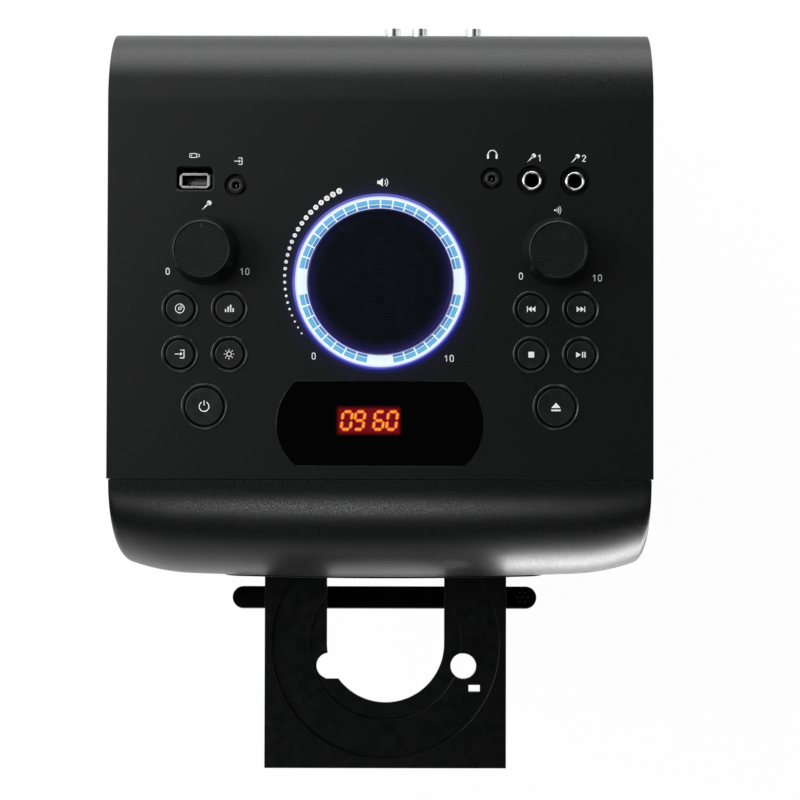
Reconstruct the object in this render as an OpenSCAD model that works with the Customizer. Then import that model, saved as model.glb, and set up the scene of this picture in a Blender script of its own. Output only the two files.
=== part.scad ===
/* [Cabinet] */
// Width of the top cover
body_w = 268; // [266:0.5:270]
// Height of the control panel above the floor
body_h = 340; // [338:0.5:344]
// Depth from the face of the slot frame to the back of the top cover
body_d = 280.7; // [280:0.1:283]
// Wall thickness of the plastic mouldings
wall = 3; // [2.8:0.1:3.2]
// Radius of the curve from the control panel into the back
back_r = 38; // [34:1:39]
// Overhang of the top cover over the casing below it
overhang = 0.9; // [0.6:0.1:1.2]
// Height of the lower edge of the top cover
cover_z = 300; // [298:1:301]
// Forward reach of the brow from the seam
brow_reach = 56.5; // [55:0.5:58]
// Drop of the brow from the control panel to its foremost line
brow_drop = 85; // [84:0.5:86]
// Radius of the front corners seen from above
corner_r = 12; // [8:1:18]
// Radius of the bow of the front seen from above
bow_r = 2600; // [2200:50:3200]
// Depth of the baffle behind the foremost line of the brow
chin_r = 15; // [14:0.5:16]
// Height of the rubber feet
foot_h = 6; // [5:0.5:7]

/* [Control panel] */
// Outer diameter of the light ring
ring_d = 86.4; // [84:0.2:88]
// Diameter of the master volume cap
master_d = 71.4; // [70:0.2:71.6]
// Centre of the master volume control behind the origin
master_y = 60.1; // [58:0.1:62]
// Diameter of the skirt of a small knob
knob_d = 33.3; // [32:0.1:34]
// Diameter of the top of a small knob
knob_top_d = 27; // [26:0.1:28]
// Height of a small knob above the panel
knob_h = 16.8; // [15:0.1:18]
// Distance of each control cluster from the middle
cluster_x = 86.1; // [85:0.1:87]
// Centre of the two small knobs behind the origin
knob_y = 75.2; // [74:0.1:76]
// Diameter of a small button
button_d = 13.6; // [13.4:0.1:14.2]
// Diameter of a large button
big_button_d = 18.3; // [17.5:0.1:18.5]
// Width of the ring round a button
bezel_w = 2.3; // [2.1:0.1:2.4]
// Half the pitch of the small buttons, side to side
button_half_pitch = 12.1; // [12:0.1:12.6]
// Travel of a button
button_travel = 0.8; // [0.6:0.1:0.8]
// Width of the display window
window_w = 101.8; // [100:0.2:104]
// Depth of the display window, front to back
window_d = 41.7; // [40:0.1:43]
// Radius of the bulged ends of the display window
window_end_r = 27.1; // [26:0.1:28]
// Centre of the display window behind the origin
window_y = -9.4; // [-10:0.1:-9]

/* [Disc tray] */
// Width of the tray
tray_w = 128.4; // [127:0.1:129]
// Reach of the open tray beyond the slot frame
tray_reach = 101.3; // [100:0.1:102]
// Travel of the tray
tray_travel = 104.5; // [103:0.1:104.8]
// Offset of the tray from the middle of the cabinet
tray_x = 1; // [0:0.1:1]
// Diameter of the recess for a large disc
disc_d = 121.5; // [121:0.1:122]
// Diameter of the recess for a small disc
small_disc_d = 81; // [80.5:0.1:81.5]
// Half width of the pickup slot
slot_half = 31.2; // [31:0.1:31.5]
// Distance of the disc centre from the front of the tray
disc_setback = 65.5; // [65:0.1:66]
// Width of the tray door
door_w = 164.8; // [163:0.1:166]
// Height of the tray door when it is shut
door_h = 11.8; // [11.4:0.1:12]
// Angle the door has swung open from shut
door_open = 75; // [74:1:76]

/* [Back and loudspeaker] */
// Reach of the phono sockets beyond the back
phono_reach = 9.4; // [9:0.1:10]
// Outer diameter of the speaker grille
grille_d = 180; // [176:1:182]
// Height of the loudspeaker's centre
woofer_z = 118; // [117:1:119]

/* [Hidden] */
$fn = 64;

// Running clearances
fit = 0.05;
gap = 0.35;

// Cabinet lines, with the origin under the middle of the whole length
length_all = body_d + tray_reach + phono_reach;
frame_y = -length_all / 2 + tray_reach;
back_y = frame_y + body_d;
frame_proud = 1.3;
brow_y = frame_y + frame_proud;
seam_y = brow_y + brow_reach;
baffle_y = brow_y + chin_r;
chin_z = 226;
base_r = 20;
top_half = body_w / 2;
case_half = top_half - overhang;
case_back = back_y - overhang;
panel_under = body_h - wall;
panel_back = back_y - back_r;
curve_steps = 28;

// Control board and the things on it
board_z = 318;
board_t = 1.6;
board_half_w = 116;
board_front = -29;
board_back = 126;
stem_r = 3;
bushing_r = 4.5;
switch_h = 3.5;
plunger_h = 1.5;
bezel_base_z = body_h - 6;
stem_gap = button_travel + 0.2;

// Columns that join the top cover to the cabinet
column_x = 124;
column_front = -20;
column_back = 172;
column_r = 5;
screw_seat_z = 285;

// Lugs that join the front casing to the rear cabinet
lug_x = 122;
lug_z = [50, 226];
lug_half = 5;
lug_reach = 12;

// Bosses that carry the control board
boss_x = 112;
boss_y = [0, 55, 120];
boss_r = 3.5;

// Sockets in the panel: centres and radii
usb_x = -91.3;
usb_y = 109.6;
usb_w = 14.8;
usb_t = 7.5;
usb_mouth_w = 12.5;
usb_mouth_t = 5.1;
usb_deep = 13;
line_x = -71.1;
line_y = 107.3;
phone_x = 54.6;
phone_y = 110.8;
mic_x = [74.3, 95.4];
mic_y = [110, 109.6];
mini_bore_r = 1.8;
mini_nozzle_r = 3.8;
mini_recess_r = 5.7;
mic_bore_r = 3.2;
mic_ferrule_r = 4.9;
mic_recess_r = 7.5;

// Phono sockets and mains inlet in the back
phono_x = [4.5, 18.6, 46.8];
phono_z = 266;
phono_r = 4.15;
inlet_x = -90;
inlet_z = 40;

// Push buttons: name, centre and diameter
row_1 = 46.8;
row_2 = 24.5;
row_3 = -1.2;
BUTTONS = [
  ["button_mode", -cluster_x - button_half_pitch, row_1, button_d],
  ["button_tone", -cluster_x + button_half_pitch, row_1, button_d],
  ["button_source", -cluster_x - button_half_pitch, row_2, button_d],
  ["button_light", -cluster_x + button_half_pitch, row_2, button_d],
  ["button_power", -cluster_x, row_3, big_button_d],
  ["button_previous", cluster_x - button_half_pitch, row_1, button_d],
  ["button_next", cluster_x + button_half_pitch, row_1, button_d],
  ["button_stop", cluster_x - button_half_pitch, row_2, button_d],
  ["button_play", cluster_x + button_half_pitch, row_2, button_d],
  ["button_eject", cluster_x, row_3, big_button_d]
];

// Disc tray and slot
slot_z = 250;
slot_w = door_w + 0.8;
slot_h = door_h + 0.8;
slot_rim = 2;
tray_front = frame_y - tray_reach;
tray_rear = -21;
tray_top = 252;
tray_skin = 247.6;
tray_floor = 244.6;
disc_y = tray_front + disc_setback;
dock_y = disc_y + tray_travel;

// Loader
deck_floor = 232;
deck_front = -80;
deck_back = 92;
deck_top = 256;
deck_wall = 3;
deck_inner = tray_w / 2 + 0.6;
deck_outer = deck_inner + deck_wall;
shelf_z = 206;
shelf_t = 3;
leg_x = 60;
leg_front = -70;
leg_back = 85;
pin_r = 2;

// Gear train: one pitch throughout, with the teeth thinned for backlash
gear_m = 1;
tooth_share = 0.78;
pinion_teeth = 20;
wheel_teeth = 28;
drive_teeth = 10;
rack_x = tray_x - 50;
gear_x = rack_x + gear_m * pinion_teeth / 2;
gear_y = -40;
pulley_y = gear_y + gear_m * (wheel_teeth + drive_teeth) / 2;
motor_y = 21;
wheel_z = 240;
wheel_t = 3.4;
pulley_z = 235.3;
pulley_t = 3.6;
pulley_groove_r = 11.8;
motor_groove_r = 3;
flange_lip = 1.2;

// Traverse
pivot_y = 64;
pivot_z = 234.3;
base_z = 232.5;
base_t = 2.5;
rod_z = 238.6;
rod_x = 17;
screw_x = -23.5;
lens_back = 23;

// Loudspeaker
speaker_y = baffle_y + wall;
speaker_hole_r = 70;
speaker_screw_ring = 76;
speaker_screws = [45:90:315];

// Tray door: hinge line, found by turning the shut door about it
shut_y = frame_y + 1.5;
hinge_y = -86.7;
hinge_z = 229.6;
arm_x = 49.5;
arm_w = 3;
door_t = 3;
hinge_pin_r = 1.5;
ear_x = arm_x + 4.9;
ear_half = 2.5;
arm_slot_half = 2.3;

// Shared shapes
module block(x0, x1, y0, y1, z0, z1) {
  translate([x0, y0, z0]) cube([x1 - x0, y1 - y0, z1 - z0]);
}

module post(x, y, z0, z1, r) {
  translate([x, y, z0]) cylinder(r = r, h = z1 - z0);
}

module rod_along_y(x, z, y0, y1, r) {
  translate([x, y0, z]) rotate([-90, 0, 0]) cylinder(r = r, h = y1 - y0);
}

module rod_along_x(y, z, x0, x1, r) {
  translate([x0, y, z]) rotate([0, 90, 0]) cylinder(r = r, h = x1 - x0);
}

// A side section, drawn as depth and height, run across the width
module across(half) {
  translate([-half, 0, 0]) rotate([90, 0, 90]) linear_extrude(2 * half) children();
}

module stadium(w, h) {
  square([w - h, h], center = true);
  for (s = [-1, 1]) translate([s * (w - h) / 2, 0]) circle(d = h);
}

// A stadium drawn as width and height, run front to back
module stadium_along_y(w, h, z, y0, y1) {
  translate([0, y1, z]) rotate([90, 0, 0]) linear_extrude(y1 - y0) stadium(w, h);
}

// Gear outline: straight-flanked teeth with one tooth centred on the start angle
function gear_outline(n, start) =
  let (
    pitch_r = gear_m * n / 2,
    tip_r = pitch_r + 0.8 * gear_m,
    root_r = pitch_r - gear_m,
    half = PI * gear_m / 4 * tooth_share,
    lean = tan(20),
    tip = (half - 0.8 * gear_m * lean) / tip_r * 180 / PI,
    root = (half + gear_m * lean) / root_r * 180 / PI
  )
  [for (i = [0:n - 1], k = [0:3])
    let (
      a = start + 360 * i / n + [-root, -tip, tip, root][k],
      r = (k == 0 || k == 3) ? root_r : tip_r
    )
    [r * cos(a), r * sin(a)]];

module gear(n, start, h) {
  linear_extrude(h) polygon(gear_outline(n, start));
}

// Side section of the top cover, moved in by the wall
module cover_section(inset) {
  reach = back_y - seam_y;
  translate([seam_y, cover_z - inset]) square([reach - inset, body_h - back_r - cover_z + inset]);
  translate([seam_y, cover_z - inset]) square([reach - back_r, body_h - cover_z]);
  intersection() {
    translate([back_y - back_r, body_h - back_r]) circle(r = back_r - inset, $fn = 96);
    translate([back_y - back_r, body_h - back_r]) square(back_r);
  }
}

module window_shape(grow) {
  flat = window_w / 2 - window_end_r;
  intersection() {
    square([2 * window_w, window_d + 2 * grow], center = true);
    union() {
      square([2 * flat, 2 * window_end_r], center = true);
      for (s = [-1, 1]) translate([s * flat, 0]) circle(r = window_end_r + grow, $fn = 96);
    }
  }
}

module each_column() {
  for (x = [-column_x, column_x], y = [column_front, column_back]) translate([x, y, 0]) children();
}

module each_arm() {
  for (x = [-arm_x, arm_x]) translate([x, 0, 0]) children();
}

module each_speaker_screw() {
  for (a = speaker_screws) translate([speaker_screw_ring * cos(a), 0, woofer_z + speaker_screw_ring * sin(a)]) {
    children();
  }
}

module each_leg() {
  for (x = [-leg_x, leg_x], y = [leg_front, leg_back]) translate([tray_x + x, y, 0]) children();
}

// The cover without its flat top: side walls, rolled rear edge, and the columns and bosses under the top
module top_cover() {
  inner_half = top_half - wall;
  color("#26282a") {
    difference() {
      across(top_half) cover_section(0);
      across(inner_half) translate([-1, 0]) cover_section(wall);
      block(-inner_half, inner_half, seam_y - 1, panel_back, panel_under - 1, body_h + 1);
    }
    difference() {
      intersection() {
        each_column() post(0, 0, cover_z, panel_under, column_r);
        across(top_half - 1) cover_section(1);
      }
      each_column() post(0, 0, cover_z - 1, cover_z + 18, 1.5);
    }
    for (x = [-boss_x, boss_x], y = boss_y) difference() {
      post(x, y, board_z, panel_under, boss_r);
      post(x, y, board_z - 1, board_z + 10, 1.2);
    }
  }
}

// The flat top of the cover, a plate with every hole of the controls in it
module control_panel() {
  inner_half = top_half - wall;
  color("#26282a") {
    difference() {
      block(-inner_half, inner_half, seam_y, panel_back, panel_under, body_h);
      for (b = BUTTONS) post(b[1], b[2], panel_under - 1, body_h + 1, b[3] / 2 + bezel_w - 0.6);
      post(0, master_y, panel_under - 1, body_h + 1, ring_d / 2 + fit, $fn = 128);
      for (x = [-cluster_x, cluster_x]) post(x, knob_y, panel_under - 1, body_h + 1, stem_r + 1);
      translate([0, window_y, panel_under - 1]) linear_extrude(wall + 2) window_shape(fit);
      block(usb_x - 9.7, usb_x + 9.7, usb_y - 5.4, usb_y + 7.4, panel_under - 1, body_h + 1);
      post(line_x, line_y, panel_under - 1, body_h + 1, mini_recess_r);
      post(phone_x, phone_y, panel_under - 1, body_h + 1, mini_recess_r);
      for (i = [0, 1]) post(mic_x[i], mic_y[i], panel_under - 1, body_h + 1, mic_recess_r);
    }
  }
}

// Side section of the front casing: brow, chin, baffle and rounded foot
function casing_section(inset, back_edge) = concat(
  [for (i = [0:curve_steps]) let (a = 90 * i / curve_steps)
    [seam_y - (brow_reach - inset) * sin(a), body_h - brow_drop + (brow_drop - inset) * cos(a)]],
  [for (i = [0:8]) let (a = 90 * i / 8, r = chin_r - inset)
    [baffle_y - r * cos(a), chin_z - r * sin(a)]],
  inset > 0 ? [[baffle_y + inset, chin_z - chin_r + inset]] : [],
  [for (i = [0:8]) let (a = 90 * i / 8, r = base_r - inset)
    [baffle_y + base_r - r * cos(a), foot_h + base_r - r * sin(a)]],
  [[back_edge, foot_h + inset], [back_edge, body_h - inset]]
);

// Plan of the front casing: a long bow between two rounded corners
function casing_plan(inset, back_edge) =
  let (
    cx = case_half - corner_r,
    cy = brow_y + bow_r - sqrt(pow(bow_r - corner_r, 2) - cx * cx),
    turn = asin(cx / (bow_r - corner_r)),
    r = corner_r - inset
  )
  concat(
    [[-(case_half - inset), back_edge]],
    [for (i = [10:-1:0]) let (a = turn + (90 - turn) * i / 10) [-(cx + r * sin(a)), cy - r * cos(a)]],
    [for (i = [-5:5]) let (a = turn * i / 6)
      [(bow_r - inset) * sin(a), brow_y + bow_r - (bow_r - inset) * cos(a)]],
    [for (i = [0:10]) let (a = turn + (90 - turn) * i / 10) [cx + r * sin(a), cy - r * cos(a)]],
    [[case_half - inset, back_edge]]
  );

module casing_form(inset, back_edge) {
  intersection() {
    across(case_half + 5) polygon(casing_section(inset, back_edge));
    linear_extrude(body_h + 10) polygon(casing_plan(inset, back_edge));
  }
}

module front_casing() {
  color("#242628") {
    difference() {
      casing_form(0, seam_y);
      casing_form(wall, seam_y + 1);
      stadium_along_y(slot_w + 2 * slot_rim, slot_h + 2 * slot_rim, slot_z, frame_y - 5, baffle_y);
      each_arm() block(-arm_slot_half, arm_slot_half, frame_y - 5, baffle_y, hinge_z - 8.6, slot_z);
      rod_along_y(0, woofer_z, baffle_y - 1, speaker_y + 1, speaker_hole_r);
      each_speaker_screw() rod_along_y(0, 0, baffle_y - 1, speaker_y + 1, 1.7);
    }
    for (s = [-1, 1]) difference() {
      translate([s * ear_x, 0, 0]) block(-ear_half, ear_half, brow_y + 2.9, -82.5, hinge_z - 5.6, hinge_z + 4.9);
      rod_along_x(hinge_y, hinge_z, s * ear_x - 4, s * ear_x + 4, hinge_pin_r + fit);
    }
    for (s = [-1, 1], z = lug_z) {
      difference() {
        block(s * lug_x - lug_half, s * lug_x + lug_half, seam_y - lug_reach, seam_y, z - lug_half, z + lug_half);
        rod_along_y(s * lug_x, z, seam_y - 10, seam_y + 1, 1.5);
      }
      mirror([s < 0 ? 1 : 0, 0, 0]) {
        block(lug_x + 4.5, lug_x + 9, seam_y - lug_reach, seam_y, z - lug_half, z + lug_half);
      }
    }
  }
}

module rear_cabinet() {
  color("#202224") {
    difference() {
      block(-case_half, case_half, seam_y, case_back, foot_h, cover_z);
      block(wall - case_half, case_half - wall, seam_y - 1, case_back - wall, foot_h + wall, cover_z + 1);
      for (x = phono_x) rod_along_y(x, phono_z, case_back - wall - 1, case_back + 1, phono_r + 0.6);
      block(inlet_x - 12.2, inlet_x + 12.2, case_back - wall - 1, case_back + 1, inlet_z - 7.2, inlet_z + 7.2);
      each_column() post(0, 0, foot_h - 1, foot_h + wall + 1, 3.2);
      for (i = [0:7], j = [0:2]) {
        block(-70 + i * 20, -58 + i * 20, case_back - wall - 1, case_back + 1, 92 + j * 10, 95 + j * 10);
      }
    }
    each_column() difference() {
      post(0, 0, foot_h + wall - 0.5, cover_z, column_r);
      post(0, 0, foot_h - 1, screw_seat_z, 3.2);
      post(0, 0, screw_seat_z - 1, cover_z + 1, 1.8);
    }
    for (s = [-1, 1], y = [column_front, column_back]) {
      mirror([s < 0 ? 1 : 0, 0, 0]) block(column_x + 4, case_half - wall + 0.5, y - 1, y + 1, foot_h + wall, cover_z);
    }
    for (s = [-1, 1]) {
      mirror([s < 0 ? 1 : 0, 0, 0]) block(126, 131, -10, 108, shelf_z - 4, shelf_z);
    }
    for (s = [-1, 1], z = lug_z) difference() {
      mirror([s < 0 ? 1 : 0, 0, 0]) block(lug_x - lug_half, 131, seam_y, seam_y + 4, z - lug_half, z + lug_half);
      rod_along_y(s * lug_x, z, seam_y - 1, seam_y + 5, 1.8);
    }
    for (x = [-95, -15], y = [85, 155]) post(x, y, foot_h + wall - 0.5, 16, 3);
    for (x = [-85, 85], z = [75, 185]) rod_along_y(x, z, 165, case_back - wall + 0.5, 3.5);
  }
}

module rubber_feet() {
  color("#111111") for (x = [-106, 106], y = [-18, 160]) {
    post(x, y, 0, foot_h, 12);
  }
}

// The frame follows the bow of the front and stands a little proud of it
module slot_frame() {
  rim_w = slot_w + 2 * slot_rim;
  rim_h = slot_h + 2 * slot_rim;
  turn = asin(rim_w / 2 / bow_r);
  back = brow_y + 5;
  bow = [for (i = [-12:12]) let (a = turn * i / 12) [bow_r * sin(a), frame_y + bow_r - bow_r * cos(a)]];
  plan = concat(bow, [[rim_w / 2, back + 2], [-rim_w / 2, back + 2]]);
  color("#0e0e0f") intersection() {
    difference() {
      stadium_along_y(rim_w, rim_h, slot_z, frame_y - 4, back);
      stadium_along_y(slot_w, slot_h, slot_z, frame_y - 5, back + 1);
      each_arm() block(-arm_slot_half, arm_slot_half, frame_y - 5, back + 1, slot_z - 12, slot_z);
    }
    translate([0, 0, slot_z - 20]) linear_extrude(40) polygon(plan);
  }
}

module speaker_grille() {
  grille_t = 1.6;
  front = baffle_y - 4.5;
  rings = 6;
  color("#161718") {
    difference() {
      rod_along_y(0, woofer_z, front, baffle_y, grille_d / 2);
      rod_along_y(0, woofer_z, front + grille_t, baffle_y + 1, grille_d / 2 - 3);
      for (k = [1:rings], i = [0:6 * k - 1]) {
        r = 12.2 * k;
        a = 360 * i / (6 * k);
        rod_along_y(r * cos(a), woofer_z + r * sin(a), front - 1, front + grille_t + 1, 3.6, $fn = 16);
      }
    }
  }
}

module speaker_turn() {
  translate([0, speaker_y, woofer_z]) rotate([-90, 0, 0]) rotate_extrude($fn = 96) children();
}

module woofer_basket() {
  color("#3a3c3e") difference() {
    speaker_turn() polygon([[67, 0], [84, 0], [84, 3], [69.5, 3], [47, 37], [47, 39], [24, 39], [24, 36.5],
      [45.5, 36.5], [67, 4]]);
    for (i = [0:5]) translate([0, speaker_y, woofer_z]) rotate([-90, 60 * i, 0]) {
      translate([42, -13, 9]) cube([40, 26, 21]);
    }
    each_speaker_screw() rod_along_y(0, 0, speaker_y - 1, speaker_y + 4, 1.7);
  }
}

module woofer_magnet() {
  color("#1c1c1e") speaker_turn() polygon([[21, 39], [42, 39], [42, 62], [0, 62], [0, 38], [17.5, 38],
    [17.5, 58], [21, 58]]);
}

module woofer_cone() {
  color("#17181a") speaker_turn() polygon([[65.8, 1], [65.8, 2.2], [64, 2.2], [62.5, 0.4], [61, 0], [59.5, 0.4],
    [58, 2.2], [56.5, 3.2], [20.1, 30], [20.1, 47], [18.6, 47], [18.6, 30], [18.6, 24], [13, 20.5], [6, 18.4],
    [0, 17.8], [0, 16.6], [6, 17.2], [13, 19.3], [19.4, 23], [20.4, 27.4], [56.2, 1.6], [57.2, 1], [59, -0.9],
    [61, -1.3], [63, -0.9], [64.8, 1]]);
}

module control_board() {
  color("#1d5a34") difference() {
    block(-board_half_w, board_half_w, board_front, board_back, board_z - board_t, board_z);
    for (x = [-boss_x, boss_x], y = boss_y) post(x, y, board_z - 3, board_z + 1, 1.6);
    for (x = [-cluster_x, cluster_x]) post(x, knob_y, board_z - 3, board_z + 1, stem_r + 0.5);
    post(0, master_y, board_z - 3, board_z + 1, stem_r + 0.5);
  }
}

module tact_switches() {
  color("#5b5d60") for (b = BUTTONS) {
    block(b[1] - 3, b[1] + 3, b[2] - 3, b[2] + 3, board_z, board_z + switch_h);
    post(b[1], b[2], board_z + switch_h, board_z + switch_h + plunger_h, 1.7);
  }
}

module button_bezels() {
  color("#3b3d40") for (b = BUTTONS) {
    bore = b[3] / 2 + 2 * gap;
    rim = b[3] / 2 + bezel_w;
    neck = rim - 0.6 - fit;
    translate([b[1], b[2], 0]) rotate_extrude() polygon([[bore, bezel_base_z], [neck, bezel_base_z],
      [neck, body_h], [rim, body_h], [rim, body_h + 0.4], [rim - 0.3, body_h + 0.7], [rim - 0.7, body_h + 0.7],
      [bore, body_h - 0.1]]);
  }
}

module push_button(b) {
  r = b[3] / 2;
  crown = body_h + 1.1;
  flange_z = bezel_base_z - gap;
  stem_z = board_z + switch_h + plunger_h + stem_gap;
  color("#1b1c1e") translate([b[1], b[2], 0]) rotate_extrude() polygon([[0, stem_z], [2, stem_z], [2, flange_z - 1.5],
    [r + 0.9, flange_z - 1.5], [r + 0.9, flange_z], [r, flange_z], [r, crown - 0.5], [r - 0.15, crown - 0.15],
    [r - 0.5, crown], [0, crown - 0.25]]);
}

module display_window() {
  color("#050506") translate([0, window_y, 0]) {
    translate([0, 0, panel_under]) linear_extrude(wall + 0.2) window_shape(0);
    translate([0, 0, panel_under - 1.5]) linear_extrude(1.5) window_shape(2);
  }
}

module display_module() {
  color("#2b2b2b") block(-27, 27, window_y - 11, window_y + 11, board_z, panel_under - 1.6);
}

module light_ring() {
  outer = ring_d / 2;
  inner = master_d / 2 + 0.5;
  foot_z = board_z + 8;
  color("#cfe6ff") translate([0, master_y, 0]) rotate_extrude($fn = 128) polygon([[inner, foot_z],
    [outer + 3, foot_z], [outer + 3, panel_under], [outer, panel_under], [outer, body_h + 0.9], [outer - 0.6, body_h + 1.3],
    [inner + 0.4, body_h + 1.3], [inner, body_h + 0.9]]);
}

module led_ring_board() {
  top = board_z + 8;
  color("#e8e8e4") difference() {
    union() {
      post(0, master_y, top - board_t, top, ring_d / 2 + 3);
      for (a = [0:90:270]) {
        post(37 * cos(a + 45), master_y + 37 * sin(a + 45), board_z, top - board_t, 2);
      }
    }
    post(0, master_y, board_z + 1, top + 1, 33);
  }
}

module master_encoder() {
  color("#6b6e72") difference() {
    union() {
      block(-7, 7, master_y - 7, master_y + 7, board_z, board_z + 7);
      post(0, master_y, board_z + 7, board_z + 13, bushing_r);
    }
    post(0, master_y, board_z + 1.5, board_z + 14, stem_r + fit);
  }
}

module master_knob() {
  r = master_d / 2;
  top = body_h + 6;
  color("#101622") translate([0, master_y, 0]) rotate_extrude($fn = 128) polygon([[0, board_z + 2],
    [stem_r, board_z + 2], [stem_r, board_z + 14], [6, board_z + 14], [6, top - 3], [r - 2.5, top - 3], [r - 2.5, body_h - 2],
    [r, body_h - 2], [r, top - 1], [r - 0.3, top - 0.3], [r - 1, top], [r - 2.2, top - 0.4], [0, top - 0.4]]);
}

module knob_pots() {
  color("#8a8d90") for (x = [-cluster_x, cluster_x]) difference() {
    union() {
      block(x - 8, x + 8, knob_y - 8, knob_y + 8, board_z, board_z + 7);
      post(x, knob_y, board_z + 7, board_z + 12, bushing_r);
    }
    post(x, knob_y, board_z + 1.5, board_z + 13, stem_r + fit);
  }
}

module small_knob(x) {
  skirt = knob_d / 2;
  crown = knob_top_d / 2;
  top = body_h + knob_h;
  low = body_h + 0.5;
  color("#141516") translate([x, knob_y, 0]) rotate_extrude($fn = 96) polygon([[0, board_z + 2],
    [stem_r, board_z + 2], [stem_r, low + 2], [skirt - 2, low + 2], [skirt - 2, low], [skirt, low], [skirt, low + 1.6],
    [crown + 0.9, top - 1.4], [crown + 0.5, top - 0.4], [crown, top], [crown - 0.3, top], [crown - 0.5, top - 0.6],
    [0, top - 0.6]]);
}

module mic_volume_knob() {
  small_knob(-cluster_x);
}

module echo_knob() {
  small_knob(cluster_x);
}

module usb_socket() {
  mouth = body_h - 1.2;
  color("#c9ccd0") difference() {
    union() {
      block(usb_x - usb_w / 2, usb_x + usb_w / 2, usb_y - usb_t / 2, usb_y + usb_t / 2, board_z + 2, mouth);
      block(usb_x - 9, usb_x + 9, usb_y - 4.6, usb_y + 4.6, board_z, board_z + 2);
    }
    block(usb_x - usb_mouth_w / 2, usb_x + usb_mouth_w / 2, usb_y - usb_mouth_t / 2, usb_y + usb_mouth_t / 2,
      mouth - usb_deep, mouth + 1);
  }
}

module mini_socket(x, y) {
  color("#222326") difference() {
    union() {
      block(x - 6, x + 6, y - 6, y + 6, board_z, panel_under - 0.3);
      post(x, y, panel_under - 0.4, body_h - 0.6, mini_nozzle_r);
    }
    post(x, y, board_z + 5, body_h + 1, mini_bore_r);
  }
}

module line_in_socket() {
  mini_socket(line_x, line_y);
}

module headphone_socket() {
  mini_socket(phone_x, phone_y);
}

module mic_socket(x, y) {
  color("#2a2b2d") difference() {
    union() {
      block(x - 9, x + 9, y - 9, y + 9, board_z, panel_under - 0.3);
      post(x, y, panel_under - 0.4, body_h - 0.6, mic_ferrule_r);
    }
    post(x, y, board_z + 1.5, body_h + 1, mic_bore_r);
  }
}

module mic_socket_1() {
  mic_socket(mic_x[0], mic_y[0]);
}

module mic_socket_2() {
  mic_socket(mic_x[1], mic_y[1]);
}

module phono_sockets() {
  inner_face = case_back - wall;
  color("#c9ccd0") difference() {
    union() {
      block(-4, 55, inner_face - 13, inner_face, phono_z - 9, phono_z + 9);
      for (x = phono_x) rod_along_y(x, phono_z, inner_face - 0.5, back_y + phono_reach, phono_r);
    }
    for (x = phono_x) rod_along_y(x, phono_z, inner_face - 10, back_y + phono_reach + 1, 1.7);
  }
}

module mains_inlet() {
  deep = 11;
  front = case_back + 0.8;
  color("#141414") {
    difference() {
      union() {
        block(inlet_x - 12, inlet_x + 12, case_back - wall - 12, case_back, inlet_z - 7, inlet_z + 7);
        block(inlet_x - 14, inlet_x + 14, case_back, front, inlet_z - 9, inlet_z + 9);
      }
      translate([inlet_x, front + 1, inlet_z]) rotate([90, 0, 0]) linear_extrude(deep + 1) stadium(18.6, 9);
    }
    for (x = [-4.3, 4.3]) rod_along_y(inlet_x + x, inlet_z, front - deep - 0.5, front - 1.5, 1.2);
  }
}

module power_board() {
  color("#a8763c") {
    block(-105, -5, 78, 162, 16, 17.6);
    block(-95, -55, 95, 130, 17.5, 50);
    for (x = [-40, -24]) post(x, 105, 17.5, 45, 7);
    block(-48, -15, 128, 131, 17.5, 48);
    for (x = [-43, -37, -31, -25, -19]) block(x - 0.6, x + 0.6, 131, 142, 17.5, 48);
  }
}

module main_board() {
  back = 165;
  color("#1d5a34") difference() {
    union() {
      block(-95, 95, back - board_t, back, 68, 192);
      block(-20, 20, back - 5, back - board_t + 0.1, 110, 150);
      for (x = [-70, -50, 55, 72]) rod_along_y(x, 90, back - 20, back - board_t + 0.1, 6);
      block(40, 85, back - 24, back - board_t + 0.1, 135, 170);
    }
    for (i = [0:4]) block(44 + i * 8, 49 + i * 8, back - 25, back - 6, 134, 171);
    for (x = [-85, 85], z = [75, 185]) rod_along_y(x, z, back - 3, back + 1, 1.6);
  }
}

module deck_shelf() {
  top = shelf_z + shelf_t;
  shelf_half = case_half - wall - 0.3;
  color("#2c2e31") {
    difference() {
      union() {
        block(-shelf_half, shelf_half, baffle_y + base_r, 110, shelf_z, top);
        block(-112, 112, baffle_y + wall + 0.5, baffle_y + base_r + 1, shelf_z, top);
      }
      each_leg() post(0, 0, shelf_z - 1, top + 1, 1.5);
      for (s = [-1, 1]) {
        post(s * column_x, column_front, shelf_z - 1, top + 1, column_r + 0.4);
        mirror([s < 0 ? 1 : 0, 0, 0]) block(column_x, 131, column_front - 1.5, column_front + 1.5,
          shelf_z - 1, top + 1);
      }
    }
    each_leg() difference() {
      post(0, 0, top - 0.5, deck_floor - 2, 5);
      post(0, 0, shelf_z - 1, deck_floor, 1.5);
    }
  }
}

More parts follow.
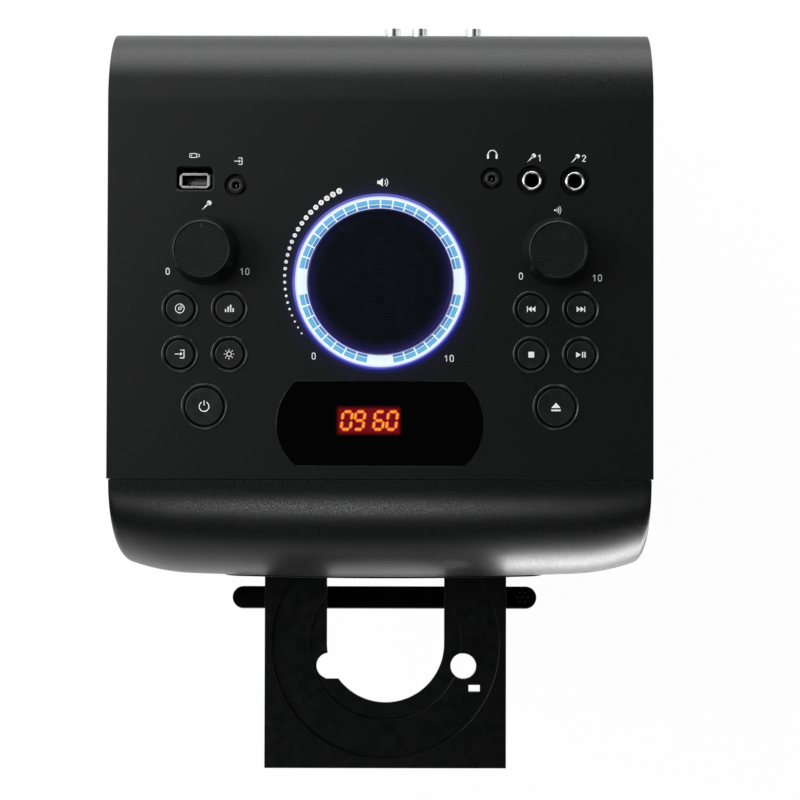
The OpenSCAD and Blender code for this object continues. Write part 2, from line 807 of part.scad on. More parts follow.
// The moulded deck: floor, side walls, runners under and over the tray, gear posts
module loader_chassis() {
  runner_in = tray_w / 2 - 3.6;
  runner_top = tray_floor - 0.3;
  color("#33353a") {
    difference() {
      block(tray_x - deck_outer, tray_x + deck_outer, deck_front, deck_back, deck_floor - 2, deck_floor);
      block(tray_x - 24, tray_x + 24, -38, 50, deck_floor - 3, deck_floor + 1);
      each_leg() post(0, 0, deck_floor - 3, deck_floor + 1, 1.7);
      post(gear_x, motor_y, deck_floor - 3, deck_floor + 1, 2.5);
    }
    for (s = [-1, 1]) translate([tray_x, 0, 0]) {
      block(min(s * deck_inner, s * deck_outer), max(s * deck_inner, s * deck_outer), deck_front, deck_back,
        deck_floor - 1, deck_top);
      block(min(s * runner_in, s * (deck_inner + 1)), max(s * runner_in, s * (deck_inner + 1)), deck_front,
        deck_back, runner_top - 2.5, runner_top);
      for (y = [deck_front + 6, 18]) {
        block(min(s * (runner_in + 1), s * (deck_inner + 1)), max(s * (runner_in + 1), s * (deck_inner + 1)),
          y, y + 12, tray_top + 0.4, tray_top + 2.4);
      }
      difference() {
        block(min(s * 28.4, s * 33.4), max(s * 28.4, s * 33.4), pivot_y - 5, pivot_y + 5, deck_floor - 1, 239);
        rod_along_x(pivot_y, pivot_z, -40, 40, pin_r + fit);
      }
    }
    post(gear_x, gear_y, deck_floor - 1, wheel_z - 0.1, 4);
    post(gear_x, gear_y, deck_floor - 1, wheel_z + wheel_t + 3.4, pin_r);
    post(gear_x, pulley_y, deck_floor - 1, pulley_z - 0.1, 4);
    post(gear_x, pulley_y, deck_floor - 1, wheel_z + wheel_t, pin_r);
    block(tray_x - 6, tray_x + 6, -44, -39, deck_floor - 1, base_z - fit);
  }
}

module loading_motor() {
  color("#9a9da0") {
    post(gear_x, motor_y, deck_floor - 20, deck_floor - 2, 12);
    post(gear_x, motor_y, deck_floor - 2.5, pulley_z + 5, 1);
    post(gear_x, motor_y, deck_floor - 22, deck_floor - 20, 3);
  }
}

module grooved_wheel(groove_r, bore_r) {
  lip = groove_r + flange_lip;
  rotate_extrude() polygon([[bore_r, 0], [lip, 0], [lip, 0.8], [groove_r, 0.8], [groove_r, pulley_t - 0.8],
    [lip, pulley_t - 0.8], [lip, pulley_t], [bore_r, pulley_t]]);
}

module motor_pulley() {
  color("#dcd8cc") translate([gear_x, motor_y, pulley_z]) grooved_wheel(motor_groove_r, 1 + fit);
}

module loader_pulley() {
  color("#dcd8cc") translate([gear_x, pulley_y, 0]) {
    translate([0, 0, pulley_z]) grooved_wheel(pulley_groove_r, pin_r + fit);
    difference() {
      translate([0, 0, pulley_z + pulley_t - 0.5]) {
        gear(drive_teeth, -90 + 180 / drive_teeth, wheel_z + wheel_t - pulley_z - pulley_t + 0.5);
      }
      post(0, 0, pulley_z, wheel_z + 10, pin_r + fit);
    }
  }
}

module tray_gear() {
  color("#e6e2d6") translate([gear_x, gear_y, 0]) difference() {
    union() {
      translate([0, 0, wheel_z]) gear(wheel_teeth, 90, wheel_t);
      translate([0, 0, wheel_z + wheel_t - 0.5]) gear(pinion_teeth, 180, 4.3);
    }
    post(0, 0, wheel_z - 1, wheel_z + 20, pin_r + fit);
  }
}

module belt_loop(grow) {
  hull() {
    translate([gear_x, pulley_y]) circle(r = pulley_groove_r + grow, $fn = 48);
    translate([gear_x, motor_y]) circle(r = motor_groove_r + grow, $fn = 48);
  }
}

module loader_belt() {
  color("#0c0c0c") translate([0, 0, pulley_z + 1.1]) linear_extrude(1.4) difference() {
    belt_loop(1.2);
    belt_loop(0.15);
  }
}

module clamp_bridge() {
  plate_z = deck_top + 2;
  color("#8f9296") difference() {
    union() {
      block(tray_x - deck_outer, tray_x + deck_outer, dock_y - 13, dock_y + 13, plate_z, plate_z + 2);
      for (s = [-1, 1]) {
        block(tray_x + min(s * deck_inner, s * deck_outer), tray_x + max(s * deck_inner, s * deck_outer),
          dock_y - 13, dock_y + 13, deck_top, plate_z);
      }
      post(tray_x, dock_y, plate_z, plate_z + 2, 17);
    }
    post(tray_x, dock_y, plate_z - 1, plate_z + 3, 10.8);
  }
}

module clamp_puck() {
  plate_z = deck_top + 2;
  color("#2a2b2d") translate([tray_x, dock_y, 0]) rotate_extrude() polygon([[0, plate_z - 1.8], [10.5, plate_z - 1.8],
    [10.5, plate_z + 2 + fit], [13, plate_z + 2 + fit], [13, plate_z + 3.6], [0, plate_z + 3.6]]);
}

// One screw standing on its head, which lies just below the origin
module screw_up(reach, r) {
  translate([0, 0, -1]) cylinder(r = r, h = reach + 1);
  translate([0, 0, -2]) cylinder(r = 2 * r, h = 2);
}

module screws() {
  color("#9a9da0") {
    each_column() translate([0, 0, screw_seat_z]) screw_up(28, 1.45);
    each_leg() translate([0, 0, deck_floor]) mirror([0, 0, 1]) screw_up(12, 1.4);
    each_speaker_screw() translate([0, baffle_y, 0]) rotate([-90, 0, 0]) screw_up(9, 1.5);
    for (s = [-1, 1], z = lug_z) translate([s * lug_x, seam_y + 4, z]) rotate([90, 0, 0]) screw_up(12, 1.45);
    for (x = [-boss_x, boss_x], y = boss_y) translate([x, y, board_z - board_t]) screw_up(10, 1.15);
  }
}

// The tray: a skin with two disc steps, the pickup slot open to the rear, edge ribs and the rack
module disc_tray() {
  left = tray_x - tray_w / 2;
  right = tray_x + tray_w / 2;
  lobe_y = disc_y - 11.7;
  rack_back = rack_x - 0.8;
  color("#1c1d1f") {
    difference() {
      block(left, right, tray_front, tray_rear, tray_skin, tray_top);
      post(tray_x, disc_y, tray_top - 1.6, tray_top + 1, disc_d / 2, $fn = 128);
      post(tray_x, disc_y, tray_top - 2.9, tray_top + 1, small_disc_d / 2, $fn = 128);
      post(tray_x, disc_y, tray_skin - 1, tray_top + 1, slot_half, $fn = 128);
      block(tray_x - slot_half, tray_x + slot_half, disc_y, tray_rear + 1, tray_skin - 1, tray_top + 1);
      post(-28.9, lobe_y, tray_skin - 1, tray_top + 1, 6.9);
      block(-31, -16, lobe_y - 6.9, lobe_y, tray_skin - 1, tray_top + 1);
      post(42.5, lobe_y, tray_skin - 1, tray_top + 1, 6.8);
      block(45.3, 51.3, disc_y - 25.3, disc_y - 21.6, tray_skin - 1, tray_top + 1);
    }
    for (x = [left, right - 3.4]) block(x, x + 3.4, tray_front + 4, tray_rear, tray_floor, tray_skin + 0.1);
    block(rack_back - 2.4, rack_back - 0.3, -152, -28, tray_floor, tray_skin + 0.1);
    translate([rack_back - 0.5, 0, tray_floor]) linear_extrude(tray_skin - tray_floor + 0.1) polygon(rack_outline());
  }
}

// Rack outline: teeth towards +X, with a gap level with the gear at rest
function rack_outline() =
  let (
    pitch = PI * gear_m,
    half = pitch / 4 * tooth_share,
    lean = tan(20),
    root_x = 0.8 - gear_m + 0.5,
    tip_x = root_x + 1.8 * gear_m
  )
  concat(
    [[0, gear_y - 35.5 * pitch - 1.5]],
    [for (i = [-35:3], k = [0:3])
      let (
        y = gear_y + (i - 0.5) * pitch,
        w = (k == 0 || k == 3) ? half + gear_m * lean : half - 0.8 * gear_m * lean
      )
      [(k == 0 || k == 3) ? root_x : tip_x, y + (k < 2 ? -w : w)]],
    [[0, gear_y + 2.5 * pitch + 1.5]]
  );

// The door is drawn shut and then swung open about its hinge
module tray_door() {
  drop = slot_z - door_h / 2;
  color("#0f1011") translate([0, hinge_y, hinge_z]) rotate([door_open, 0, 0]) translate([0, -hinge_y, -hinge_z]) {
    difference() {
      translate([0, shut_y + door_t / 2, slot_z]) rotate([90, 0, 0]) linear_extrude(door_t) stadium(door_w, door_h);
      for (a = [0:60:359]) {
        rod_along_y(74.8 + 2.9 * cos(a), slot_z + 2.9 * sin(a), shut_y - 5, shut_y + 5, 0.55, $fn = 16);
      }
      rod_along_y(74.8, slot_z, shut_y - 5, shut_y + 5, 0.55, $fn = 16);
    }
    for (s = [-1, 1]) {
      translate([s * arm_x, hinge_y, hinge_z]) rotate([0, 90, 0]) cylinder(r = 2.8, h = arm_w, center = true);
      translate([s * arm_x, 0, 0]) door_arm(drop);
      rod_along_x(hinge_y, hinge_z, s > 0 ? arm_x : -arm_x - 7, s > 0 ? arm_x + 7 : -arm_x, hinge_pin_r);
    }
  }
}

// Arm in side section, from the eye on the hinge to the back of the shut door
module door_arm(drop) {
  across(arm_w / 2) polygon([[hinge_y - 2.6, hinge_z], [hinge_y + 2.6, hinge_z], [hinge_y - 0.6, drop - 2],
    [shut_y + 1.4, drop + 7], [shut_y + 1.4, drop + 1]]);
}

module traverse_base() {
  color("#55585c") {
    difference() {
      union() {
        block(tray_x - 27, tray_x + 27, -14, pivot_y + 4, base_z, base_z + base_t);
        block(tray_x - 15, tray_x + 15, -46, -13.9, base_z, base_z + base_t);
        for (s = [-1, 1], y = [-14, 52]) {
          block(tray_x + s * rod_x - 2.5, tray_x + s * rod_x + 2.5, y, y + 3, base_z, rod_z + 2.5);
        }
      }
      block(tray_x - 13, tray_x + 13, -8, 48, base_z - 1, base_z + base_t + 1);
      for (s = [-1, 1]) rod_along_y(tray_x + s * rod_x, rod_z, -15, 56, 1.5 + fit);
    }
    for (s = [-1, 1]) translate([tray_x + s * 29.5, 0, 0]) rod_along_x(pivot_y, pivot_z, -3.5, 3.5, pin_r);
  }
}

module spindle_motor() {
  color("#b9bcc0") translate([tray_x, dock_y, 0]) {
    post(0, 0, base_z + base_t, 243.6, 10.5);
    post(0, 0, 243.5, 245.9, 1);
  }
}

module turntable() {
  color("#1a1a1c") translate([tray_x, dock_y, 0]) rotate_extrude() polygon([[1 + fit, 244], [14, 244], [14, 246.6],
    [13.5, 247], [7.4, 247], [7.2, 249], [5.5, 250], [0, 250], [0, 246], [1 + fit, 246]]);
}

module sled_rods() {
  color("#d0d3d6") for (s = [-1, 1]) rod_along_y(tray_x + s * rod_x, rod_z, -14, 55, 1.5);
}

module pickup_sled() {
  lens_y = dock_y + lens_back;
  reach = 10;
  color("#232427") {
    difference() {
      union() {
        block(tray_x - 20.5, tray_x + 20.5, lens_y - 7.8, lens_y + 7.8, base_z + base_t + 0.4, 242);
        block(tray_x + screw_x - 2.6, tray_x - 20, lens_y - 4, lens_y + 4, base_z + base_t + 0.4, 241.6);
      }
      for (s = [-1, 1]) rod_along_y(tray_x + s * rod_x, rod_z, lens_y - reach, lens_y + reach, 1.5 + fit);
      rod_along_y(tray_x + screw_x, rod_z, lens_y - reach, lens_y + reach, 1.7);
    }
    post(tray_x, lens_y, 241.9, 243.6, 6);
    post(tray_x, lens_y, 243.5, 244.3, 2.6);
  }
}

module lead_screw() {
  color("#b9bcc0") translate([tray_x + screw_x, 0, rod_z]) {
    rod_along_y(0, 0, -13.5, 54.4, 1.1);
    for (i = [0:20]) rod_along_y(0, 0, -12 + 3 * i, -10.6 + 3 * i, 1.5);
  }
}

module sled_motor() {
  color("#9a9da0") difference() {
    block(tray_x + screw_x - 3.4, tray_x + screw_x + 3.6, 52.2, 61.6, base_z + base_t, 243);
    rod_along_y(tray_x + screw_x, rod_z, 51, 55, 1.1 + fit);
  }
}

top_cover();
control_panel();
front_casing();
rear_cabinet();
rubber_feet();
slot_frame();
speaker_grille();
woofer_basket();
woofer_magnet();
woofer_cone();
control_board();
tact_switches();
button_bezels();
display_window();
display_module();
light_ring();
led_ring_board();
master_encoder();
knob_pots();
usb_socket();
line_in_socket();
headphone_socket();
mic_socket_1();
mic_socket_2();
phono_sockets();
mains_inlet();
power_board();
main_board();
deck_shelf();
loader_chassis();
loading_motor();
loader_belt();
clamp_bridge();
screws();
master_knob();
mic_volume_knob();
echo_knob();
for (b = BUTTONS) push_button(b);
disc_tray();
tray_gear();
loader_pulley();
motor_pulley();
tray_door();
clamp_puck();
traverse_base();
spindle_motor();
turntable();
sled_rods();
sled_motor();
lead_screw();
pickup_sled();
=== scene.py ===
import math

import bmesh
import bpy
from mathutils import Matrix, Vector


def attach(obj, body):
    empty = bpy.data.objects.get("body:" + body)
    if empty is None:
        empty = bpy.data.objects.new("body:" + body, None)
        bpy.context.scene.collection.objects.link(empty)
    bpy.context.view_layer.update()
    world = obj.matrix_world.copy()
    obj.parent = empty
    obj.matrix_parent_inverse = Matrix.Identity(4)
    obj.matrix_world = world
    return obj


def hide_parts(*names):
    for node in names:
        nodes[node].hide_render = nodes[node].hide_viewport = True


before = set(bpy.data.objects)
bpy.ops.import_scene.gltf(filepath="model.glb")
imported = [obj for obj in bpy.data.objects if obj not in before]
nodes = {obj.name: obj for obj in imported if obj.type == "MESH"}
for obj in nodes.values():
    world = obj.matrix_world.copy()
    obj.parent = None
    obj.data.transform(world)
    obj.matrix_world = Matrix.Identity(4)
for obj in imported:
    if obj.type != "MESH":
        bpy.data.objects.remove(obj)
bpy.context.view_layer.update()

MM = 0.001

# Camera. Above the machine, a little to the right of and behind its middle, tipped a degree towards the
# rear edge, which is at the top. The photograph is an off-centre crop, hence the two shifts.
camera_data = bpy.data.cameras.new("camera")
camera_data.lens = 91.8
camera_data.shift_x = -0.0375
camera_data.shift_y = -0.1138
camera_data.clip_end = 20
camera = bpy.data.objects.new("camera", camera_data)
camera.location = (0.0244, 0.02865, 1.34)
camera.rotation_euler = (math.radians(1.04), 0, math.radians(0.12))
bpy.context.collection.objects.link(camera)
bpy.context.scene.camera = camera
bpy.context.scene.view_settings.view_transform = "Standard"


# Studio. A white floor that the camera sees as plain white and shiny surfaces as paper that is lit near
# the machine, a dim sky, and soft boxes low behind, in front, overhead and at the sides.
def feed(tree, node, values):
    """Sets a node's inputs; a value is plain, or a node or a socket to link from."""
    for key, value in values.items():
        if isinstance(value, bpy.types.Node):
            value = value.outputs[0]
        if isinstance(value, bpy.types.NodeSocket):
            tree.links.new(value, node.inputs[key])
        else:
            node.inputs[key].default_value = value


def add_node(tree, kind, values=None, **settings):
    """A new node with its settings and inputs set."""
    made = tree.nodes.new(kind)
    for key, value in settings.items():
        setattr(made, key, value)
    feed(tree, made, values or {})
    return made


def reckon(tree, operation, a, b=None):
    """A maths node's result; a and b are plain numbers, nodes or sockets."""
    return add_node(tree, "ShaderNodeMath", {0: a} if b is None else {0: a, 1: b}, operation=operation).outputs[0]


def ramp(tree, along, stops):
    """A colour that runs through stops of (value, colour) as a number goes from the first to the last value."""
    first, last = stops[0][0], stops[-1][0]
    share = add_node(tree, "ShaderNodeMapRange", {"Value": along, "From Min": first, "From Max": last})
    made = add_node(tree, "ShaderNodeValToRGB", {0: share})
    elements = made.color_ramp.elements
    while len(elements) < len(stops):
        elements.new(0.5)
    for element, (value, colour) in zip(elements, stops):
        element.position = (value - first) / (last - first)
        element.color = (*colour, 1)
    return made.outputs[0]


def part_of(tree, axis, space="Object"):
    """One coordinate of the shaded point."""
    place = add_node(tree, "ShaderNodeTexCoord").outputs[space]
    return add_node(tree, "ShaderNodeSeparateXYZ", {0: place}).outputs[axis]


PAPER_GREY = 0.86
SEEN_WHITE = 0.97
FLOOR_LIT = ((-1.0, 0.08), (-0.7, 0.08), (-0.42, 0.2), (-0.33, 1.0), (-0.1, 1.0), (0.2, 0.4), (0.7, 0.35),
             (1.0, 0.35))
floor_paper = bpy.data.materials.new("floor_paper")
floor_paper.use_nodes = True
tree = floor_paper.node_tree
paper = tree.nodes["Principled BSDF"]
feed(tree, paper, {"Base Color": (PAPER_GREY, PAPER_GREY, PAPER_GREY, 1), "Roughness": 0.9})
lit = ramp(tree, part_of(tree, "Y"), [(y, (level, level, level)) for y, level in FLOOR_LIT])
ray = add_node(tree, "ShaderNodeLightPath").outputs
mirrored = reckon(tree, "MULTIPLY", reckon(tree, "MAXIMUM", ray["Is Glossy Ray"], ray["Is Transmission Ray"]), lit)
share = reckon(tree, "MULTIPLY", reckon(tree, "MAXIMUM", mirrored, ray["Is Camera Ray"]), SEEN_WHITE)
white = add_node(tree, "ShaderNodeEmission", {"Color": (1, 1, 1, 1), "Strength": 1.0})
shown = add_node(tree, "ShaderNodeMixShader", {0: share, 1: paper, 2: white})
feed(tree, tree.nodes["Material Output"], {"Surface": shown})

FLOOR_HALF = 4
floor_mesh = bpy.data.meshes.new("floor")
floor_corners = [(x * FLOOR_HALF, y * FLOOR_HALF, 0) for x, y in ((-1, -1), (1, -1), (1, 1), (-1, 1))]
floor_mesh.from_pydata(floor_corners, [], [(0, 1, 2, 3)])
floor_mesh.materials.append(floor_paper)
floor = bpy.data.objects.new("floor", floor_mesh)
bpy.context.collection.objects.link(floor)

SKY_LOW, SKY_HIGH = 0.22, 0.12
world = bpy.data.worlds.new("studio")
bpy.context.scene.world = world
world.use_nodes = True
tree = world.node_tree
sky = tree.nodes["Background"]
rise = part_of(tree, "Z", "Generated")
feed(tree, sky, {"Strength": add_node(tree, "ShaderNodeMapRange", {
    "Value": rise, "From Max": 0.9, "To Min": SKY_LOW, "To Max": SKY_HIGH})})
backdrop = add_node(tree, "ShaderNodeBackground", {"Color": (1, 1, 1, 1), "Strength": 1.0})
camera_ray = add_node(tree, "ShaderNodeLightPath").outputs["Is Camera Ray"]
feed(tree, tree.nodes["World Output"], {
    "Surface": add_node(tree, "ShaderNodeMixShader", {0: camera_ray, 1: sky, 2: backdrop})})


def soft_box(name, place, aim, size, radiance):
    """A rectangular lamp that the camera doesn't see, with the same brightness whatever its size."""
    lamp = bpy.data.lights.new(name, "AREA")
    lamp.shape = "RECTANGLE"
    lamp.size, lamp.size_y = size
    lamp.energy = radiance * math.pi * size[0] * size[1]
    obj = bpy.data.objects.new(name, lamp)
    obj.location = place
    obj.rotation_euler = (Vector(aim) - Vector(place)).to_track_quat("-Z", "Y").to_euler()
    obj.visible_camera = False
    bpy.context.collection.objects.link(obj)


soft_box("rear_box", (-0.12, 1.4, 0.5), (0, 0.1, 0.3), (2.4, 0.95), 4.4)
soft_box("front_box", (-0.1, -1.1, 1.32), (-0.05, -0.05, 0.3), (0.34, 0.46), 8.0)
soft_box("left_box", (-1.55, 0.35, 1.4), (0, 0, 0.3), (1.1, 1.3), 7.5)
soft_box("right_box", (1.4, 0.1, 1.0), (0, 0, 0.3), (0.8, 1.0), 1.6)
soft_box("top_box", (-0.5, 0.75, 1.9), (-0.05, 0.2, 0.3), (1.1, 0.9), 0.9)
soft_box("low_card", (0.52, -0.43, 0.02), (0.52, -0.43, 1), (0.92, 0.26), 8.0)


# Rear cabinet. A deep box of black ABS, moulded in one, with vents in its back and four wells in its
# floor for the long screws that pull the top cover down. Its texture is the coarsest on the machine.
def mix(tree, factor, a, b):
    """A blend of two colours, each plain or a socket."""
    return add_node(tree, "ShaderNodeMix", {0: factor, 6: a, 7: b}, data_type="RGBA").outputs[2]


def surface(name, colour, roughness, metallic=0.0, grain=0.5, depth=0.01, mottle=0.12, specular=0.5,
            worn=0.0, stretch=(1, 1, 1), sparkle=0.15):
    """A finish with fine grain, faint broad mottling, uneven gloss and, if worn, edges rubbed paler.

    Grain and depth are in millimetres. Above a sparkle of 0.2 the gloss varies with the grain."""
    material = bpy.data.materials.new(name)
    material.use_nodes = True
    tree = material.node_tree
    place = add_node(tree, "ShaderNodeMapping", {
        "Vector": add_node(tree, "ShaderNodeTexCoord").outputs["Object"], "Scale": stretch})
    fine = add_node(tree, "ShaderNodeTexNoise", {
        "Vector": place, "Scale": 1 / (grain * MM), "Detail": 2.0, "Roughness": 0.6})
    broad, patches = [add_node(tree, "ShaderNodeTexNoise", {"Vector": place, "Scale": scale, "Detail": 3.0})
                      for scale in (38.0, 210.0)]
    darker = (*[c * (1 - mottle) for c in colour], 1)
    lighter = (*[min(1, c * (1 + mottle)) for c in colour], 1)
    tint = mix(tree, broad, darker, lighter)
    if worn:
        edge = add_node(tree, "ShaderNodeBevel", {"Radius": 0.7 * MM}, samples=3)
        facing = add_node(tree, "ShaderNodeNewGeometry").outputs["Normal"]
        turn = add_node(tree, "ShaderNodeVectorMath", {0: edge, 1: facing}, operation="DOT_PRODUCT").outputs["Value"]
        rub = add_node(tree, "ShaderNodeMapRange", {
            "Value": turn, "From Min": 0.995, "From Max": 0.9, "To Max": worn})
        paler = (*[min(1, 0.05 + c * 1.6) for c in colour], 1)
        tint = mix(tree, reckon(tree, "MULTIPLY", rub, patches), tint, paler)
    gloss = add_node(tree, "ShaderNodeMapRange", {
        "Value": fine if sparkle > 0.2 else patches, "From Min": 0.3, "From Max": 0.7,
        "To Min": max(0.02, roughness * (1 - sparkle)), "To Max": min(1, roughness * (1 + sparkle))})
    bump = add_node(tree, "ShaderNodeBump", {"Strength": 1.0, "Distance": depth * MM, "Height": fine})
    feed(tree, tree.nodes["Principled BSDF"], {
        "Metallic": metallic, "Specular IOR Level": specular, "Base Color": tint, "Roughness": gloss, "Normal": bump})
    return material


def piece(name, mesh, material, body, slot, *stands_for):
    """Puts a mesh in the scene as one piece of the machine, riding on a body."""
    mesh.name = name
    if material:
        mesh.materials.clear()
        mesh.materials.append(material)
    obj = bpy.data.objects.new(name, mesh)
    bpy.context.collection.objects.link(obj)
    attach(obj, body)
    if stands_for:
        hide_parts(*stands_for)
    return obj


def soften(obj, width, segments=2, angle=30):
    """Rounds every edge sharper than the angle, as a mould or a press leaves it."""
    obj.data.shade_smooth()
    edges = obj.modifiers.new("rounded_edges", "BEVEL")
    edges.width = width * MM
    edges.segments = segments
    edges.limit_method = "ANGLE"
    edges.angle_limit = math.radians(angle)
    edges.use_clamp_overlap = True
    obj.modifiers.new("even_shading", "WEIGHTED_NORMAL").keep_sharp = False
    return obj


def finished(work, name):
    """Ends the work on a bmesh and gives it back as a mesh."""
    mesh = bpy.data.meshes.new(name)
    work.to_mesh(mesh)
    work.free()
    return mesh


FLAT_ANGLE = math.radians(0.4)


def cast_from(node):
    """A clean copy of a CAD node's mesh, with its coplanar triangles joined."""
    work = bmesh.new()
    work.from_mesh(nodes[node].data)
    bmesh.ops.remove_doubles(work, verts=work.verts, dist=0.004 * MM)
    bmesh.ops.dissolve_limit(work, angle_limit=FLAT_ANGLE, verts=work.verts, edges=work.edges)
    return finished(work, node)


def from_node(node, name, material, body, bevel, segments=2):
    """A CAD node's own shape with softened edges and a finer finish."""
    slot = nodes[node].material_slots[0].material.name.split(".")[0]
    return soften(piece(name, cast_from(node), material, body, slot, node), bevel, segments)


cabinet_plastic = surface("cabinet_plastic", (0.011, 0.0115, 0.0125), 0.55, grain=0.7, depth=0.03, worn=0.25)
from_node("rear_cabinet", "cabinet_shell", cabinet_plastic, "cabinet", 0.8)

# Feet. Four turned rubber pads pressed over pegs in the floor, dished underneath to grip.
foot_rubber = surface("foot_rubber", (0.016, 0.016, 0.016), 0.85, grain=0.4, depth=0.02, specular=0.3)
from_node("rubber_feet", "feet", foot_rubber, "cabinet", 1.0, 3)


# Front casing. One black ABS moulding: the bowed brow that falls forward from the seam, the nose with
# the disc slot, the set-back baffle for the loudspeaker and a foot that curls under. Walls are 3 mm.
SEAM_Y = -36.6
SEAM_GAP = 0.4
BROW_Y = -93.1
BROW_TOP = 340
BROW_DROP = 85
BAFFLE_Y = -78.1
CHIN_Z = 226
CHIN_R = 15
FOOT_Z = 6
FOOT_R = 20
CASE_HALF = 133.1
BOW_R = 2600
BOW_HALF = 100
EASE_R = 100
CORNER_R = 5


def bow_plan():
    """Points of the foremost line of the casing from left to right: long bow, easing arc, tight corner."""
    bow_end = math.asin(BOW_HALF / BOW_R)
    ease_end = math.asin((CASE_HALF - BOW_HALF - CORNER_R + EASE_R * math.sin(bow_end)) / (EASE_R - CORNER_R))
    right = []
    x, y, start = 0.0, BROW_Y, 0.0
    for radius, end, steps in ((BOW_R, bow_end, 10), (EASE_R, ease_end, 10), (CORNER_R, math.pi / 2, 12)):
        for i in range(1, steps + 1):
            a = start + (end - start) * i / steps
            right.append((x + radius * (math.sin(a) - math.sin(start)), y + radius * (math.cos(start) - math.cos(a))))
        x, y = right[-1]
        start = end
    return [(-x, y) for x, y in reversed(right)] + [(0, BROW_Y)] + right


def soft_max(a, b, width=6):
    """The larger of two numbers, with a rounded change from one to the other."""
    share = min(1, max(0, 0.5 + 0.5 * (a - b) / width))
    return a * share + b * (1 - share) + width * share * (1 - share)


def casing_rows(y_front):
    """The side section where the foremost line is at y_front, as (y, z) from the seam down to the floor."""
    reach = SEAM_Y - SEAM_GAP - y_front
    back = soft_max(BAFFLE_Y, y_front)
    rows = [(SEAM_Y - SEAM_GAP - reach * math.sin(a), BROW_TOP - BROW_DROP * (1 - math.cos(a)))
            for a in (math.pi / 2 * i / 36 for i in range(37))]
    rows.append((y_front, (CHIN_Z + BROW_TOP - BROW_DROP) / 2))
    for i in range(9):
        a = math.pi / 2 * i / 8
        rows.append((y_front + (back - y_front) * (1 - math.cos(a)), CHIN_Z - CHIN_R * math.sin(a)))
    for i in range(1, 4):
        rows.append((back, CHIN_Z - CHIN_R - (CHIN_Z - CHIN_R - FOOT_Z - FOOT_R) * i / 4))
    for i in range(9):
        a = math.pi / 2 * i / 8
        rows.append((back + FOOT_R * (1 - math.cos(a)), FOOT_Z + FOOT_R * (1 - math.sin(a))))
    rows.append((SEAM_Y - SEAM_GAP, FOOT_Z))
    return rows


def skin(columns, name):
    """A smooth sheet through columns of points in millimetres, all of the same length."""
    work = bmesh.new()
    grid = [[work.verts.new((x * MM, y * MM, z * MM)) for x, y, z in column] for column in columns]
    for left, right in zip(grid, grid[1:]):
        for i in range(len(left) - 1):
            work.faces.new((left[i], left[i + 1], right[i + 1], right[i]))
    bmesh.ops.remove_doubles(work, verts=work.verts, dist=0.01 * MM)
    bmesh.ops.dissolve_degenerate(work, edges=work.edges, dist=0.005 * MM)
    return finished(work, name)


def slab(outline, start, end, axis="Z"):
    """A plain prism: an outline in millimetres run from start to end along Z or Y."""
    work = bmesh.new()
    ends = []
    for level in (start, end):
        points = [(p, q, level) if axis == "Z" else (p, level, q) for p, q in outline]
        ends.append([work.verts.new(Vector(v) * MM) for v in points])
    first, last = ends
    work.faces.new(first)
    work.faces.new(last)
    for i in range(len(outline)):
        j = (i + 1) % len(outline)
        work.faces.new((first[i], first[j], last[j], last[i]))
    bmesh.ops.recalc_face_normals(work, faces=work.faces)
    return finished(work, "slab")


def circle(x, y, r, steps=48, start=0.0, end=360.0):
    """Points of a circle or an arc; a whole circle doesn't repeat its first point."""
    last = steps if abs(end - start) < 360 else steps - 1
    return [(x + r * math.cos(math.radians(start + (end - start) * i / steps)),
             y + r * math.sin(math.radians(start + (end - start) * i / steps))) for i in range(last + 1)]


def long_round(x, y, width, height, steps=16):
    """A slot shape with half-round ends."""
    r = height / 2
    half = width / 2 - r
    return circle(x + half, y, r, steps, -90, 90) + circle(x - half, y, r, steps, 90, 270)


def joined(meshes, name):
    """Several meshes made one."""
    work = bmesh.new()
    for mesh in meshes:
        work.from_mesh(mesh)
    return finished(work, name)


def combine(obj, other, operation="DIFFERENCE"):
    """Takes another shape out of a piece, or joins it on, and makes the result its own mesh."""
    tool = bpy.data.objects.new("tool", other)
    bpy.context.collection.objects.link(tool)
    cut = obj.modifiers.new("cut", "BOOLEAN")
    cut.operation = operation
    cut.solver = "EXACT"
    cut.object = tool
    bpy.context.view_layer.update()
    made = bpy.data.meshes.new_from_object(obj.evaluated_get(bpy.context.evaluated_depsgraph_get()))
    obj.modifiers.clear()
    obj.data = made
    bpy.data.objects.remove(tool)


def box(x0, y0, x1, y1):
    """The four corners of a rectangle."""
    return [(x0, y0), (x1, y0), (x1, y1), (x0, y1)]


WALL = 3
SLOT_Z = 250
RIM_W, RIM_H = 169.6, 16.6
RIM_FIT = 0.4
ARM_X = 49.5
NOTCH_HALF, NOTCH_LOW, NOTCH_HIGH = 2.3, 221, 251
HINGE_Z = 229.6
WOOFER_Z = 118
WOOFER_HOLE_R = 70
EAR_X, EAR_HALF = ARM_X + 4.9, 2.5
EAR_BARS = ((-90.4, -88.3, 224, 234.5), (-85.1, -82.5, 224, 234.5), (-88.4, -85, 224, 228), (-88.4, -85, 231.2, 234.5))
LUG_X, LUG_HALF, LUG_LONG, LUG_TALL = 124, 7, 12, 5
LUG_ZS = (50, 226)
columns = [[(x, y, z) for y, z in casing_rows(front)] for x, front in bow_plan()]
for side in (0, -1):
    flank = [(columns[side][0][0], SEAM_Y - SEAM_GAP, z) for _, _, z in columns[side]]
    columns.insert(0 if side == 0 else len(columns), flank)
casing = bpy.data.objects.new("front_shell", skin(columns, "front_shell"))
bpy.context.collection.objects.link(casing)
wall = casing.modifiers.new("wall", "SOLIDIFY")
wall.thickness = WALL * MM
wall.offset = -1
wall.use_even_offset = True
